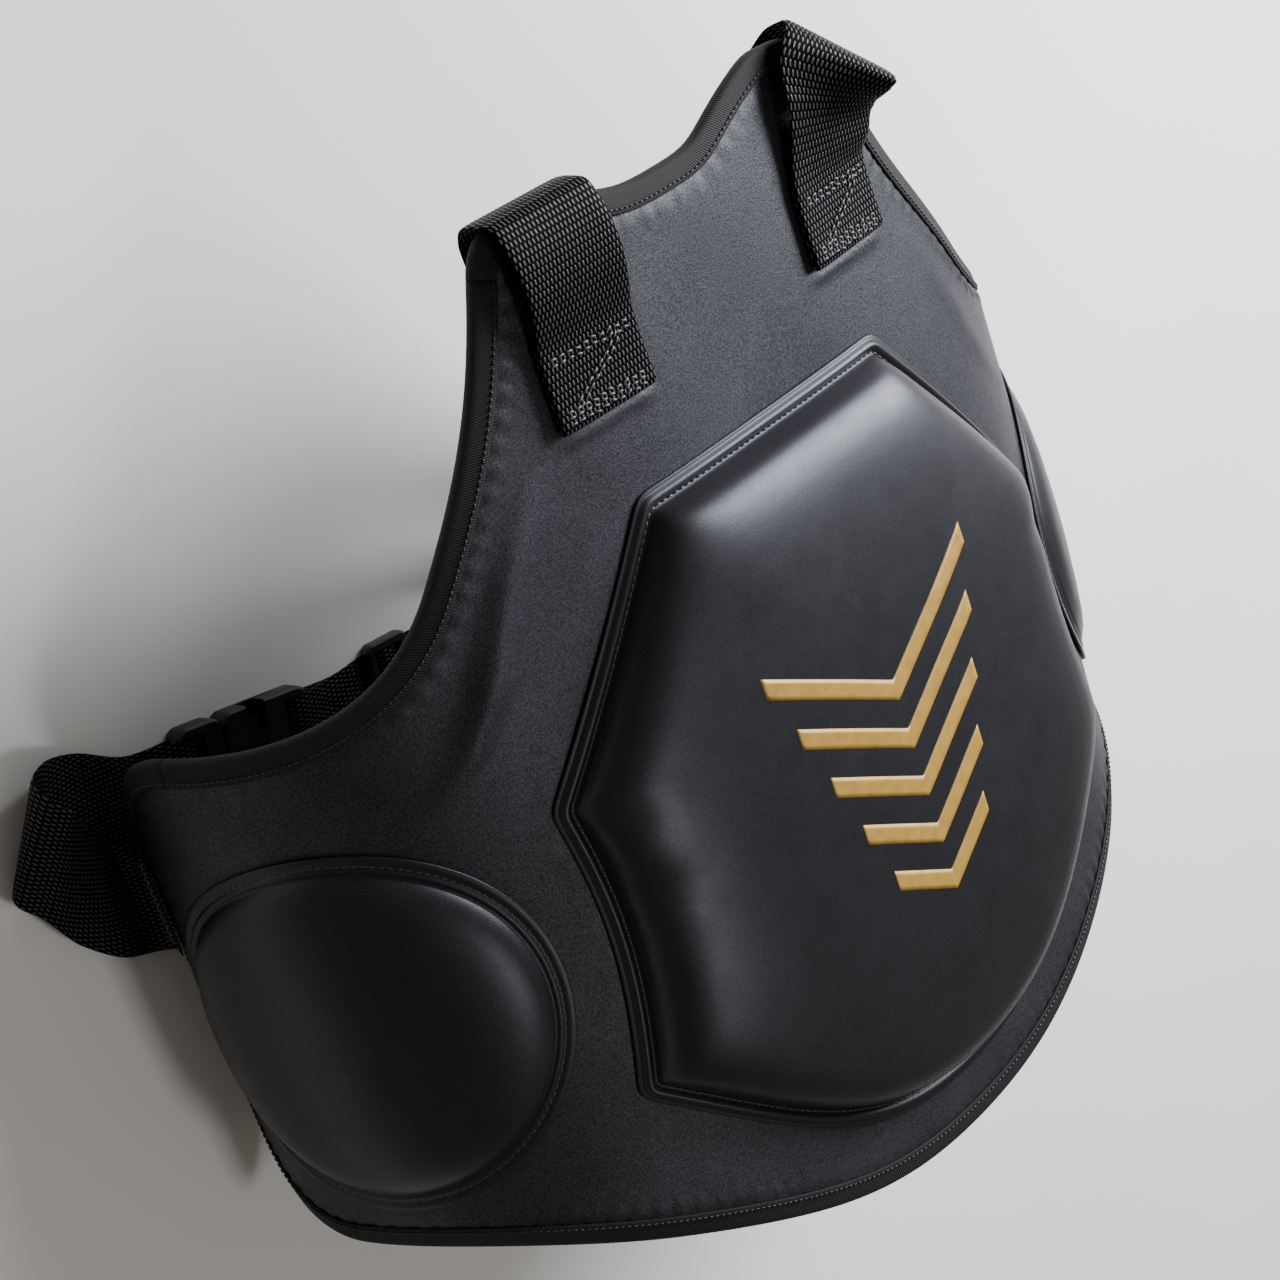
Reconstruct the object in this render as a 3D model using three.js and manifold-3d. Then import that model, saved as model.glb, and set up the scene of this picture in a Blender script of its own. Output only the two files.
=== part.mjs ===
// A trainer's belly pad: a padded vest front in black synthetic leather, lying on its back.
// The panel is cut flat and wrapped round the body. Girth s runs sideways from the centre line,
// height v runs up from the lower edge, and depth w runs outward from the panel's inner face.
import * as THREE from 'three';
import { mergeVertices } from 'three/addons/utils/BufferGeometryUtils.js';
import Module from 'manifold-3d';

const wasm = await Module();
wasm.setup();

// Panel and wrap, in millimetres and degrees
const HALF_GIRTH = 370;
const PANEL_THICKNESS = 8;
const WRAP_GIRTH = 300;
const WRAP_ANGLE = 80; // the panel's turn at WRAP_GIRTH
const WRAP_POWER = 2.2;
const EDGE_STEP = 11;
const PANEL_ROWS = 2;
const SEAM_GAP = 0.35; // between a sewn piece and what carries it
const TAPE_GAP = 0.6; // between the panel's faces and its binding
const EDGE_GAP = 0.8; // between the panel's edge and the fold of its binding
const PAD_GAP = 0.85; // the same under a pad, whose facets are wider

// Upper edge from the neck's lowest place to the rear edge: where each stretch ends and its headings.
// The left shoulder is cut higher and slants, and the right one's girth is counted to the right.
const NECK_LOWEST = { s: -8, v: 475 };
const NECK_LEFT = [
  { s: 20, v: 480, leave: 0, arrive: 26 },
  { s: 52, v: 494, leave: 26, arrive: 19 },
  { s: 69, v: 496, leave: 19, arrive: -6 },
  { s: 90, v: 490, leave: -6, arrive: -45 },
  { s: 118, v: 460, leave: -45, arrive: -62 },
];
const NECK_RIGHT = [
  { s: 52, v: 481.5, leave: 0, arrive: 22 },
  { s: 72, v: 487, leave: 22, arrive: 0 },
  { s: 102, v: 487, leave: 0, arrive: 0 },
  { s: 117, v: 473, leave: 0, arrive: -70 },
];
const ARMHOLE_EDGE = [
  { s: 178, v: 366, leave: -70, arrive: -53 },
  { s: 276, v: 327, leave: -53, arrive: 0 },
  { s: 306, v: 327, leave: 0, arrive: 0 },
];
const REAR_EDGE = [
  { s: HALF_GIRTH, v: 225, leave: 0, arrive: -90 },
  { s: HALF_GIRTH, v: 150, leave: -90, arrive: -90 },
  { s: 304, v: 90, leave: -90, arrive: 180 },
];
const LOWER_EDGE = [
  { s: 170, v: 52, leave: 180, arrive: 204 },
  { s: 0, v: 0, leave: 204, arrive: 180 },
];
const HANDLE = 0.39; // share of a stretch's chord that its headings act over

// Belly pad: half outline from its top's middle, then its rise by distance in from the edge
const BELLY_CENTRE = { s: 0, v: 195 };
const BELLY_TOP = { s: 0, v: 362 };
const BELLY_EDGE = [
  { s: 80, v: 362, leave: 0, arrive: 0 },
  { s: 164, v: 260, leave: -50, arrive: -51 },
  { s: 170, v: 124, leave: -100, arrive: -76 },
  { s: 0, v: 28, leave: -139, arrive: 180 },
];
const BELLY_STEP = 15;
const BELLY_CROWN = 27;
const BELLY_RISE = [
  { inset: 0, rise: 2.2 },
  { inset: 8, rise: 2.2 },
  { inset: 10, rise: 6 },
  { inset: 16, rise: 14.5 },
  { inset: 24, rise: 19.5 },
  { inset: 38, rise: 22.5 },
  { inset: 64, rise: 25 },
  { inset: 98, rise: 26.5 },
];
const BELLY_SEAT = [0, 14, 28, 46, 68, 98];

// Side pads
const SIDE_CENTRE = { s: 266, v: 194 };
const SIDE_RADIUS = 86;
const SIDE_STEPS = 40;
const SIDE_CROWN = 12;
const SIDE_RISE = [
  { inset: 0, rise: 1.8 },
  { inset: 6, rise: 1.8 },
  { inset: 8, rise: 3.4 },
  { inset: 15, rise: 6.5 },
  { inset: 26, rise: 9.2 },
  { inset: 42, rise: 11 },
  { inset: 62, rise: 11.8 },
];
const SIDE_SEAT = [0, 10, 20, 31, 44, 58, 72];

// Binding tape
const TAPE_WIDTH = 10;
const TAPE_THICKNESS = 1.2;

// Webbing
const WEB_WIDTH = 50;
const WEB_THICKNESS = 2;
const WEB_STEP = 9;
const TAB_LOW = 401;
const TAB_HIGH = 437;
const TAB_UNDER = 2.2; // the folded end under the strap's stitched tab
const TAB_STEP = 1.5;
const TAB_SEAT = 0.9; // a flat tab over the panel's crown
const TAB_LIFT = PANEL_THICKNESS + TAB_SEAT + TAB_UNDER + WEB_THICKNESS / 2;
const WEB_ON_FLOOR = WEB_THICKNESS / 2 + SEAM_GAP;
const ALONG_BODY = [0, 1, 0];

// Belt hardware: places on the floor, and headings in degrees
const BUCKLE = { x: -180, y: 273, heading: -12, length: 72, width: 61, height: 11 };
const LADDER_LOCK = { x: -88, y: 259, heading: -6, length: 25, width: 60, height: 6.4 };
const BUCKLE_HALF = BUCKLE.length / 2;
const BUCKLE_SIDE = BUCKLE.width / 2;
const MATING = -12; // where the plug's shoulder meets the socket, along the buckle
const CLEAR = 0.5; // between the plug and the socket
const WEB_SIDE = WEB_WIDTH / 2 + 1; // half a webbing slot's width
const BAR_DEPTH = 5.5;
const BAR_LOW = 3.5;
const BAR_HIGH = 7.5;
const SLOT_DEPTH = 8;
const SEWN_BACK = 16;
const PRONG = { low: 3, high: 8, near: 15, far: 24, tip: 14 };
const GUIDE = { side: 4, tip: 8 };
const PLATE_BEVEL = 1.1;
const PLUG_CORNER = 4;
const LOCK_CORNER = 3;
const LOCK_BAR = 4;
const LOCK_OVER_WEB = 3.2; // underside of the lock's outer bars
const LOCK_MIDDLE = { half: 1.8, low: 0.4, high: 2.6 };

const LEATHER = { color: 0x1d1e22, roughness: 0.62, metalness: 0 };
const PAD_LEATHER = { color: 0x15161a, roughness: 0.45, metalness: 0 };
const TAPE = { color: 0x101012, roughness: 0.85, metalness: 0 };
const WEBBING = { color: 0x131315, roughness: 0.8, metalness: 0 };
const PLASTIC = { color: 0x0d0d0f, roughness: 0.4, metalness: 0 };

// Wrap of the flat panel, summed from its heading along the girth

const WRAP_STEP = 1;
const wrapTable = [{ x: 0, z: 0 }];
for (let s = 0; s < HALF_GIRTH + 20; s += WRAP_STEP) {
  const turn = wrapTurn(s + WRAP_STEP / 2);
  const last = wrapTable[wrapTable.length - 1];
  wrapTable.push({ x: last.x + WRAP_STEP * Math.cos(turn), z: last.z - WRAP_STEP * Math.sin(turn) });
}

function wrapTurn(girth) {
  return THREE.MathUtils.degToRad(WRAP_ANGLE) * (girth / WRAP_GIRTH) ** WRAP_POWER;
}

function wrap(s, v, w) {
  const girth = Math.abs(s);
  const side = Math.sign(s);
  const cell = Math.floor(girth / WRAP_STEP);
  const share = girth / WRAP_STEP - cell;
  const from = wrapTable[cell];
  const to = wrapTable[cell + 1];
  const turn = wrapTurn(girth);
  const x = THREE.MathUtils.lerp(from.x, to.x, share) + w * Math.sin(turn);
  const z = THREE.MathUtils.lerp(from.z, to.z, share) + w * Math.cos(turn);
  return new THREE.Vector3(side * x, v, z);
}

const TAPE_REACH = TAPE_GAP + TAPE_THICKNESS;
const TAPE_FOLD = EDGE_GAP + TAPE_THICKNESS;
const FLOOR = wrap(HALF_GIRTH + TAPE_FOLD, 0, PANEL_THICKNESS + TAPE_REACH).z;

// Outlines

function heading(degrees) {
  const angle = THREE.MathUtils.degToRad(degrees);
  return new THREE.Vector2(Math.cos(angle), Math.sin(angle));
}

function traceEdge(start, stretches, step) {
  const points = [new THREE.Vector2(start.s, start.v)];
  for (const stretch of stretches) {
    const from = points[points.length - 1];
    const to = new THREE.Vector2(stretch.s, stretch.v);
    const reach = HANDLE * from.distanceTo(to);
    const leave = from.clone().addScaledVector(heading(stretch.leave), reach);
    const arrive = to.clone().addScaledVector(heading(stretch.arrive), -reach);
    const curve = new THREE.CubicBezierCurve(from, leave, arrive, to);
    const count = Math.max(2, Math.ceil(curve.getLength() / step));
    points.push(...curve.getSpacedPoints(count).slice(1));
  }
  return points;
}

function endOf(stretches) {
  return stretches[stretches.length - 1];
}

function mirrored(points) {
  return points.map((point) => new THREE.Vector2(-point.x, point.y)).reverse();
}

const neckLeft = traceEdge(NECK_LOWEST, NECK_LEFT, EDGE_STEP);
const neckRight = traceEdge({ s: -NECK_LOWEST.s, v: NECK_LOWEST.v }, NECK_RIGHT, EDGE_STEP);
const armholeLeft = traceEdge(endOf(NECK_LEFT), ARMHOLE_EDGE, EDGE_STEP);
const armholeRight = traceEdge(endOf(NECK_RIGHT), ARMHOLE_EDGE, EDGE_STEP);
const rear = traceEdge(endOf(ARMHOLE_EDGE), REAR_EDGE, EDGE_STEP);
const lowerHalf = traceEdge(endOf(REAR_EDGE), LOWER_EDGE, EDGE_STEP);

function outlineHalf(neck, armhole) {
  return [...neck, ...armhole.slice(1), ...rear.slice(1), ...lowerHalf.slice(1)];
}

// How many steps from the neck's lowest place each stretch of a half ends
function stretchEnds(neck, armhole) {
  const neckEnd = neck.length - 1;
  const armholeEnd = neckEnd + armhole.length - 1;
  return { neck: neckEnd, armhole: armholeEnd, rear: armholeEnd + rear.length - 1 };
}

// The whole outline, clockwise from the neck's lowest place
const outlineRight = outlineHalf(neckRight, armholeRight);
const outline = [...outlineHalf(neckLeft, armholeLeft), ...mirrored(outlineRight).slice(1, -1)];
const LEFT_ENDS = stretchEnds(neckLeft, armholeLeft);
const RIGHT_ENDS = stretchEnds(neckRight, armholeRight);

// Closed meshes from rings of points

function meshOf(name, geometry, finish) {
  const mesh = new THREE.Mesh(geometry, new THREE.MeshStandardMaterial(finish));
  mesh.name = name;
  return mesh;
}

function geometryOf(points, triangles) {
  const geometry = new THREE.BufferGeometry();
  geometry.setAttribute('position', new THREE.Float32BufferAttribute(points.flatMap((p) => p.toArray()), 3));
  geometry.setIndex(triangles.flat());
  geometry.computeVertexNormals();
  return geometry;
}

// Joins two neighbouring rings of equal count, whose first points start at the given indices
function joinRings(triangles, first, second, count) {
  for (let i = 0; i < count; i += 1) {
    const next = (i + 1) % count;
    const quad = [first + i, first + next, second + next, second + i];
    triangles.push([quad[0], quad[1], quad[2]], [quad[0], quad[2], quad[3]]);
  }
}

// A bar swept through rings of points, each the same section in order, with both ends closed
function sweep(rings) {
  const count = rings[0].length;
  const triangles = [];
  for (let k = 0; k + 1 < rings.length; k += 1) {
    joinRings(triangles, k * count, (k + 1) * count, count);
  }
  const contour = THREE.ShapeUtils.triangulateShape;
  const flat = sectionInPlane(rings[0]);
  const tail = (rings.length - 1) * count;
  for (const [a, b, c] of contour(flat, [])) {
    triangles.push([a, c, b], [tail + a, tail + b, tail + c]);
  }
  const points = rings.flat();
  if (signedVolume(points, triangles) < 0) {
    triangles.forEach((triangle) => triangle.reverse());
  }
  return geometryOf(points, triangles);
}

function sectionInPlane(ring) {
  const origin = ring[0];
  const right = ring[1].clone().sub(origin).normalize();
  const last = ring[ring.length - 1].clone().sub(origin);
  const up = last.addScaledVector(right, -last.dot(right)).normalize();
  return ring.map((point) => {
    const offset = point.clone().sub(origin);
    return new THREE.Vector2(offset.dot(right), offset.dot(up));
  });
}

function signedVolume(points, triangles) {
  const cross = new THREE.Vector3();
  return triangles.reduce((sum, [a, b, c]) => sum + points[a].dot(cross.crossVectors(points[b], points[c])), 0);
}

// Panel: columns of constant girth between its lower and upper edges

function heightAt(edge, s) {
  for (let i = 0; i + 1 < edge.length; i += 1) {
    const from = edge[i];
    const to = edge[i + 1];
    if ((from.x - s) * (to.x - s) <= 0 && from.x !== to.x) {
      return THREE.MathUtils.lerp(from.y, to.y, (s - from.x) / (to.x - from.x));
    }
  }
  return edge[edge.length - 1].y;
}

function panelColumns(neck, armhole) {
  const corner = rear.findIndex((point) => point.x >= HALF_GIRTH);
  const upper = [...neck, ...armhole.slice(1), ...rear.slice(1, corner + 1)];
  const lowCorner = rear.filter((point) => point.y <= REAR_EDGE[1].v);
  const lower = [...lowCorner, ...lowerHalf.slice(1)];
  return upper.map((point) => ({ s: point.x, high: point.y, low: heightAt(lower, Math.abs(point.x)) }));
}

function panelGeometry() {
  const left = panelColumns(neckLeft, armholeLeft);
  const right = panelColumns(neckRight, armholeRight).map((column) => ({ ...column, s: -column.s }));
  const rings = [...right.slice(1).reverse(), ...left].map(({ s, high, low }) => {
    const outer = [];
    const inner = [];
    for (let row = 0; row <= PANEL_ROWS; row += 1) {
      const v = THREE.MathUtils.lerp(low, high, row / PANEL_ROWS);
      outer.push(wrap(s, v, PANEL_THICKNESS));
      inner.push(wrap(s, v, 0));
    }
    return [...outer, ...inner.reverse()];
  });
  return sweep(rings);
}

// Binding tape: a folded strip over a stretch of the panel's edge

function bindingGeometry(first, last) {
  const low = -TAPE_REACH;
  const high = PANEL_THICKNESS + TAPE_REACH;
  const section = [
    { inward: TAPE_WIDTH, w: high },
    { inward: -TAPE_FOLD, w: high },
    { inward: -TAPE_FOLD, w: low },
    { inward: TAPE_WIDTH, w: low },
    { inward: TAPE_WIDTH, w: -TAPE_GAP },
    { inward: -EDGE_GAP, w: -TAPE_GAP },
    { inward: -EDGE_GAP, w: PANEL_THICKNESS + TAPE_GAP },
    { inward: TAPE_WIDTH, w: PANEL_THICKNESS + TAPE_GAP },
  ];
  const rings = [];
  for (let k = first; k <= last; k += 1) {
    const along = outlinePoint(k + 1).clone().sub(outlinePoint(k - 1)).normalize();
    const inward = new THREE.Vector2(along.y, -along.x);
    const point = outlinePoint(k).clone();
    if (k === first || k === last) {
      point.addScaledVector(along, k === first ? SEAM_GAP / 2 : -SEAM_GAP / 2);
    }
    rings.push(section.map((corner) => {
      const at = point.clone().addScaledVector(inward, corner.inward);
      return wrap(at.x, at.y, corner.w);
    }));
  }
  return sweep(rings);
}

function outlinePoint(index) {
  return outline[(index + outline.length) % outline.length];
}

// Sewn pads: rings at set distances in from the outline, raised on top and seated on the panel below

function distanceToEdge(edge, point) {
  let nearest = Infinity;
  edge.forEach((from, i) => {
    const to = edge[(i + 1) % edge.length];
    const span = to.clone().sub(from);
    const share = THREE.MathUtils.clamp(point.clone().sub(from).dot(span) / span.lengthSq(), 0, 1);
    nearest = Math.min(nearest, point.distanceTo(from.clone().addScaledVector(span, share)));
  });
  return nearest;
}

function insetRing(edge, centre, inset) {
  const HALVINGS = 18;
  return edge.map((point) => {
    let near = 0;
    let far = 1;
    for (let i = 0; i < HALVINGS; i += 1) {
      const middle = (near + far) / 2;
      if (distanceToEdge(edge, point.clone().lerp(centre, middle)) < inset) {
        near = middle;
      } else {
        far = middle;
      }
    }
    return inset === 0 ? point.clone() : point.clone().lerp(centre, far);
  });
}

function padGeometry(edge, centre, riseTable, crown, seatInsets) {
  const seat = PANEL_THICKNESS + PAD_GAP;
  const count = edge.length;
  const points = [];
  const starts = [];
  const place = (ring, w) => {
    starts.push(points.length);
    points.push(...ring.map((at) => wrap(at.x, at.y, w)));
  };
  [...seatInsets].reverse().forEach((inset) => place(insetRing(edge, centre, inset), seat));
  riseTable.forEach(({ inset, rise }) => place(insetRing(edge, centre, inset), seat + rise));
  const triangles = [];
  for (let k = 0; k + 1 < starts.length; k += 1) {
    joinRings(triangles, starts[k], starts[k + 1], count);
  }
  const bottom = points.push(wrap(centre.x, centre.y, seat)) - 1;
  const top = points.push(wrap(centre.x, centre.y, seat + crown)) - 1;
  const lastRing = starts[starts.length - 1];
  for (let i = 0; i < count; i += 1) {
    const next = (i + 1) % count;
    triangles.push([bottom, next, i], [top, lastRing + i, lastRing + next]);
  }
  if (signedVolume(points, triangles) < 0) {
    triangles.forEach((triangle) => triangle.reverse());
  }
  return geometryOf(points, triangles);
}

function bellyPadGeometry() {
  const half = traceEdge(BELLY_TOP, BELLY_EDGE, BELLY_STEP);
  const edge = [...half, ...mirrored(half).slice(1, -1)];
  const centre = new THREE.Vector2(BELLY_CENTRE.s, BELLY_CENTRE.v);
  return padGeometry(edge, centre, BELLY_RISE, BELLY_CROWN, BELLY_SEAT);
}

function sidePadGeometry(side) {
  const circle = new THREE.EllipseCurve(side * SIDE_CENTRE.s, SIDE_CENTRE.v, SIDE_RADIUS, SIDE_RADIUS);
  const edge = circle.getPoints(SIDE_STEPS).slice(0, -1);
  const centre = new THREE.Vector2(side * SIDE_CENTRE.s, SIDE_CENTRE.v);
  return padGeometry(edge, centre, SIDE_RISE, SIDE_CROWN, SIDE_SEAT);
}

// Webbing: a flat band along a smooth route, whose width lies along a direction given at each point

function route(at, across = [1, 0, 0], under = 0) {
  return { at, across: new THREE.Vector3(...across).normalize(), under };
}

function aboveFloor(x, y, height) {
  return new THREE.Vector3(x, y, FLOOR + height);
}

function webGeometry(routePoints) {
  const places = new THREE.CatmullRomCurve3(routePoints.map((point) => point.at), false, 'centripetal');
  const rings = [];
  for (let k = 0; k + 1 < routePoints.length; k += 1) {
    const from = routePoints[k];
    const to = routePoints[k + 1];
    const count = Math.max(1, Math.round(from.at.distanceTo(to.at) / WEB_STEP));
    const last = k + 2 === routePoints.length;
    for (let i = 0; i < count + (last ? 1 : 0); i += 1) {
      const share = i / count;
      const t = (k + share) / (routePoints.length - 1);
      const centre = places.getPoint(t);
      const along = places.getTangent(t);
      const across = from.across.clone().lerp(to.across, share).normalize();
      const up = across.clone().cross(along).normalize();
      const under = THREE.MathUtils.lerp(from.under, to.under, share);
      rings.push(webSection(centre, across, up, under));
    }
  }
  return sweep(rings);
}

function webSection(centre, across, up, under) {
  const half = WEB_WIDTH / 2;
  const thick = WEB_THICKNESS / 2;
  const corner = (side, lift) => centre.clone().addScaledVector(across, side * half).addScaledVector(up, lift);
  return [corner(1, thick), corner(-1, thick), corner(-1, -thick - under), corner(1, -thick - under)];
}

// Direction of the panel's surface across the body
function slope(s) {
  const turn = wrapTurn(Math.abs(s));
  return [Math.cos(turn), 0, -Math.sign(s) * Math.sin(turn)];
}

function tabRoute(s) {
  return [
    route(wrap(s, TAB_LOW, TAB_LIFT), slope(s), TAB_UNDER),
    route(wrap(s, TAB_HIGH - TAB_STEP, TAB_LIFT), slope(s), TAB_UNDER),
    route(wrap(s, TAB_HIGH, TAB_LIFT), slope(s), 0),
  ];
}

function rightStrapGeometry() {
  return webGeometry([
    ...tabRoute(-81),
    route(wrap(-82, 458, TAB_LIFT - 0.4), slope(-82)),
    route(wrap(-83, 474, TAB_LIFT - 0.5), slope(-83)),
    route(wrap(-84, 485, TAB_LIFT - 0.5), slope(-84)),
    route(wrap(-84, 490.3, PANEL_THICKNESS + 2.9), slope(-84)),
    route(wrap(-84, 491.8, PANEL_THICKNESS - 1), slope(-84)),
    route(wrap(-84, 491.8, 1), slope(-84)),
    route(wrap(-84, 490.5, -4), slope(-84)),
    route(wrap(-83, 484, -9), slope(-83)),
    route(new THREE.Vector3(-77, 468, -19)),
    route(new THREE.Vector3(-62, 440, -38)),
    route(new THREE.Vector3(-42, 395, -80)),
    route(new THREE.Vector3(-18, 345, -130)),
    route(new THREE.Vector3(1, 304, -172)),
    route(aboveFloor(6, 284, 6.2)),
    route(aboveFloor(8, 270, 4)),
    route(aboveFloor(8, 236, 4)),
  ]);
}

function leftStrapGeometry() {
  return webGeometry([
    ...tabRoute(80),
    route(wrap(84, 446, TAB_LIFT + 2.5), [0.99, -0.12, 0]),
    route(wrap(86, 456, TAB_LIFT + 5), [0.98, -0.19, 0]),
    route(wrap(86, 466, TAB_LIFT + 9), [0.92, -0.37, 0.08]),
    route(wrap(85, 477, TAB_LIFT + 15), [0.72, -0.58, 0.38]),
    route(wrap(89, 482, TAB_LIFT + 17), [0.58, -0.65, 0.48]),
    route(new THREE.Vector3(99, 485, 20), [0.6, -0.7, 0.38]),
    route(new THREE.Vector3(106.5, 483, 9), [0.66, -0.72, 0.2]),
    route(new THREE.Vector3(109.2, 482.2, 0), [0.68, -0.735, 0]),
    route(new THREE.Vector3(107.2, 480.2, -9), [0.7, -0.71, 0]),
    route(new THREE.Vector3(101, 472, -18), [0.8, -0.6, 0]),
    route(new THREE.Vector3(94, 455, -30), [0.95, -0.3, 0]),
    route(new THREE.Vector3(88, 435, -45)),
    route(new THREE.Vector3(80, 400, -78)),
    route(new THREE.Vector3(72, 350, -130)),
    route(new THREE.Vector3(64, 302, -173)),
    route(aboveFloor(62, 281, 6.2)),
    route(aboveFloor(62, 266, 4)),
    route(aboveFloor(62, 232, 4)),
  ]);
}

// Belt: from each flank's rear to the buckle, where each end turns round a bar and is sewn back

// Route of an end round the buckle's bar, whose outer face is at a distance out from the buckle's middle
function barTurn(side) {
  const out = BUCKLE.length / 2;
  const slot = out - BAR_DEPTH - SLOT_DEPTH / 2;
  const rows = [
    { along: out + 22, height: WEB_ON_FLOOR },
    { along: out - BAR_DEPTH + 0.5, height: WEB_ON_FLOOR + 0.1 },
    { along: slot + 0.9, height: 2.6 },
    { along: slot - 0.5, height: BUCKLE.height / 2 },
    { along: slot + 0.9, height: 8.8 },
    { along: out - BAR_DEPTH + 0.5, height: 9.9 },
    { along: out + 3, height: 8.6 },
    { along: out + 14, height: 4.6 },
    { along: out + SEWN_BACK, height: 4.2 },
  ];
  const axis = heading(BUCKLE.heading);
  return rows.map(({ along, height }) => {
    const at = aboveFloor(BUCKLE.x + side * along * axis.x, BUCKLE.y + side * along * axis.y, height);
    return route(at, [-axis.y, axis.x, 0]);
  });
}

function rightBeltGeometry() {
  const sewn = PANEL_THICKNESS + TAPE_REACH + SEAM_GAP + WEB_THICKNESS / 2;
  return webGeometry([
    route(wrap(-346, 256, sewn), ALONG_BODY),
    route(wrap(-354, 256, sewn), ALONG_BODY),
    route(aboveFloor(-256, 256.5, 13), ALONG_BODY),
    route(aboveFloor(-261, 258, 10), ALONG_BODY),
    route(aboveFloor(-270, 263, 11.5), [0.15, 0.98, 0.08]),
    route(aboveFloor(-283, 279, 17), [0.35, 0.9, 0.25]),
    route(aboveFloor(-294, 297, 24), [0.37, 0.8, 0.47]),
    route(aboveFloor(-301, 307, 22), [0.36, 0.8, 0.45]),
    route(aboveFloor(-298, 311, 14), [0.34, 0.85, 0.38]),
    route(aboveFloor(-283, 310, 9), [0.3, 0.93, 0.2]),
    route(aboveFloor(-262, 301, 4), [0.26, 0.96, 0.05]),
    ...barTurn(-1),
  ]);
}

function leftBeltGeometry() {
  const sewn = -SEAM_GAP - WEB_THICKNESS / 2;
  const lock = heading(LADDER_LOCK.heading);
  const atLock = (along, height) =>
    route(aboveFloor(LADDER_LOCK.x + along * lock.x, LADDER_LOCK.y + along * lock.y, height), [-lock.y, lock.x, 0]);
  return webGeometry([
    route(wrap(316, 198, sewn), ALONG_BODY),
    route(wrap(330, 198, sewn), ALONG_BODY),
    route(wrap(343, 198, sewn - 0.5), ALONG_BODY),
    route(aboveFloor(237, 199, 22), ALONG_BODY),
    route(aboveFloor(230, 201, 11), ALONG_BODY),
    route(aboveFloor(221, 203, 4.6), ALONG_BODY),
    route(aboveFloor(211, 206, 2.1), ALONG_BODY),
    route(aboveFloor(200, 209, WEB_ON_FLOOR), ALONG_BODY),
    route(aboveFloor(180, 214, WEB_ON_FLOOR), ALONG_BODY),
    route(aboveFloor(110, 233, WEB_ON_FLOOR), ALONG_BODY),
    route(aboveFloor(30, 251, WEB_ON_FLOOR), ALONG_BODY),
    atLock(26, WEB_ON_FLOOR),
    atLock(11, WEB_ON_FLOOR),
    atLock(7, 2.1),
    atLock(2.2, 4.4),
    atLock(-2.2, 4.4),
    atLock(-7, 2.1),
    atLock(-11, WEB_ON_FLOOR),
    ...barTurn(1),
  ]);
}

// Hardware, moulded in plastic

function solidOf(geometry) {
  const bare = geometry.clone();
  bare.deleteAttribute('normal');
  bare.deleteAttribute('uv');
  const merged = mergeVertices(bare, 1e-4);
  const vertProperties = new Float32Array(merged.attributes.position.array);
  const triVerts = new Uint32Array(merged.index.array);
  return new wasm.Manifold(new wasm.Mesh({ numProp: 3, vertProperties, triVerts }));
}

function geometryOfSolid(solid) {
  const { vertProperties, triVerts } = solid.getMesh();
  const geometry = new THREE.BufferGeometry();
  geometry.setAttribute('position', new THREE.Float32BufferAttribute(vertProperties, 3));
  geometry.setIndex(Array.from(triVerts));
  geometry.computeVertexNormals();
  return geometry;
}

// A block between two corners given as along, across and height
function block(low, high) {
  const size = high.map((value, i) => value - low[i]);
  const geometry = new THREE.BoxGeometry(...size);
  geometry.translate(...low.map((value, i) => value + size[i] / 2));
  return solidOf(geometry);
}

function roundedPlate(low, high, radius, bottom, top) {
  const [x0, y0] = low.map((value) => value + PLATE_BEVEL);
  const [x1, y1] = high.map((value) => value - PLATE_BEVEL);
  const shape = new THREE.Shape();
  shape.moveTo(x0 + radius, y0);
  shape.lineTo(x1 - radius, y0);
  shape.absarc(x1 - radius, y0 + radius, radius, -Math.PI / 2, 0);
  shape.absarc(x1 - radius, y1 - radius, radius, 0, Math.PI / 2);
  shape.absarc(x0 + radius, y1 - radius, radius, Math.PI / 2, Math.PI);
  shape.absarc(x0 + radius, y0 + radius, radius, Math.PI, 1.5 * Math.PI);
  const geometry = new THREE.ExtrudeGeometry(shape, {
    depth: top - bottom - 2 * PLATE_BEVEL,
    bevelThickness: PLATE_BEVEL,
    bevelSize: PLATE_BEVEL,
    bevelSegments: 1,
    curveSegments: 3,
  });
  geometry.translate(0, 0, bottom + PLATE_BEVEL);
  return solidOf(geometry);
}

// Cuts a webbing slot near one end, and thins the bar outside it so that the webbing passes under
function withBar(solid, side) {
  const slotNear = BUCKLE_HALF - BAR_DEPTH - SLOT_DEPTH;
  const slotFar = BUCKLE_HALF - BAR_DEPTH;
  const span = (from, to) => (side > 0 ? [from, to] : [-to, -from]);
  const [slotStart, slotEnd] = span(slotNear, slotFar);
  const [barStart, barEnd] = span(slotFar - 1, BUCKLE_HALF + 1);
  return solid
    .subtract(block([slotStart, -WEB_SIDE, -1], [slotEnd, WEB_SIDE, BUCKLE.height + 1]))
    .subtract(block([barStart, -WEB_SIDE, -1], [barEnd, WEB_SIDE, BAR_LOW]))
    .subtract(block([barStart, -WEB_SIDE, BAR_HIGH], [barEnd, WEB_SIDE, BUCKLE.height + 1]));
}

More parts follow.
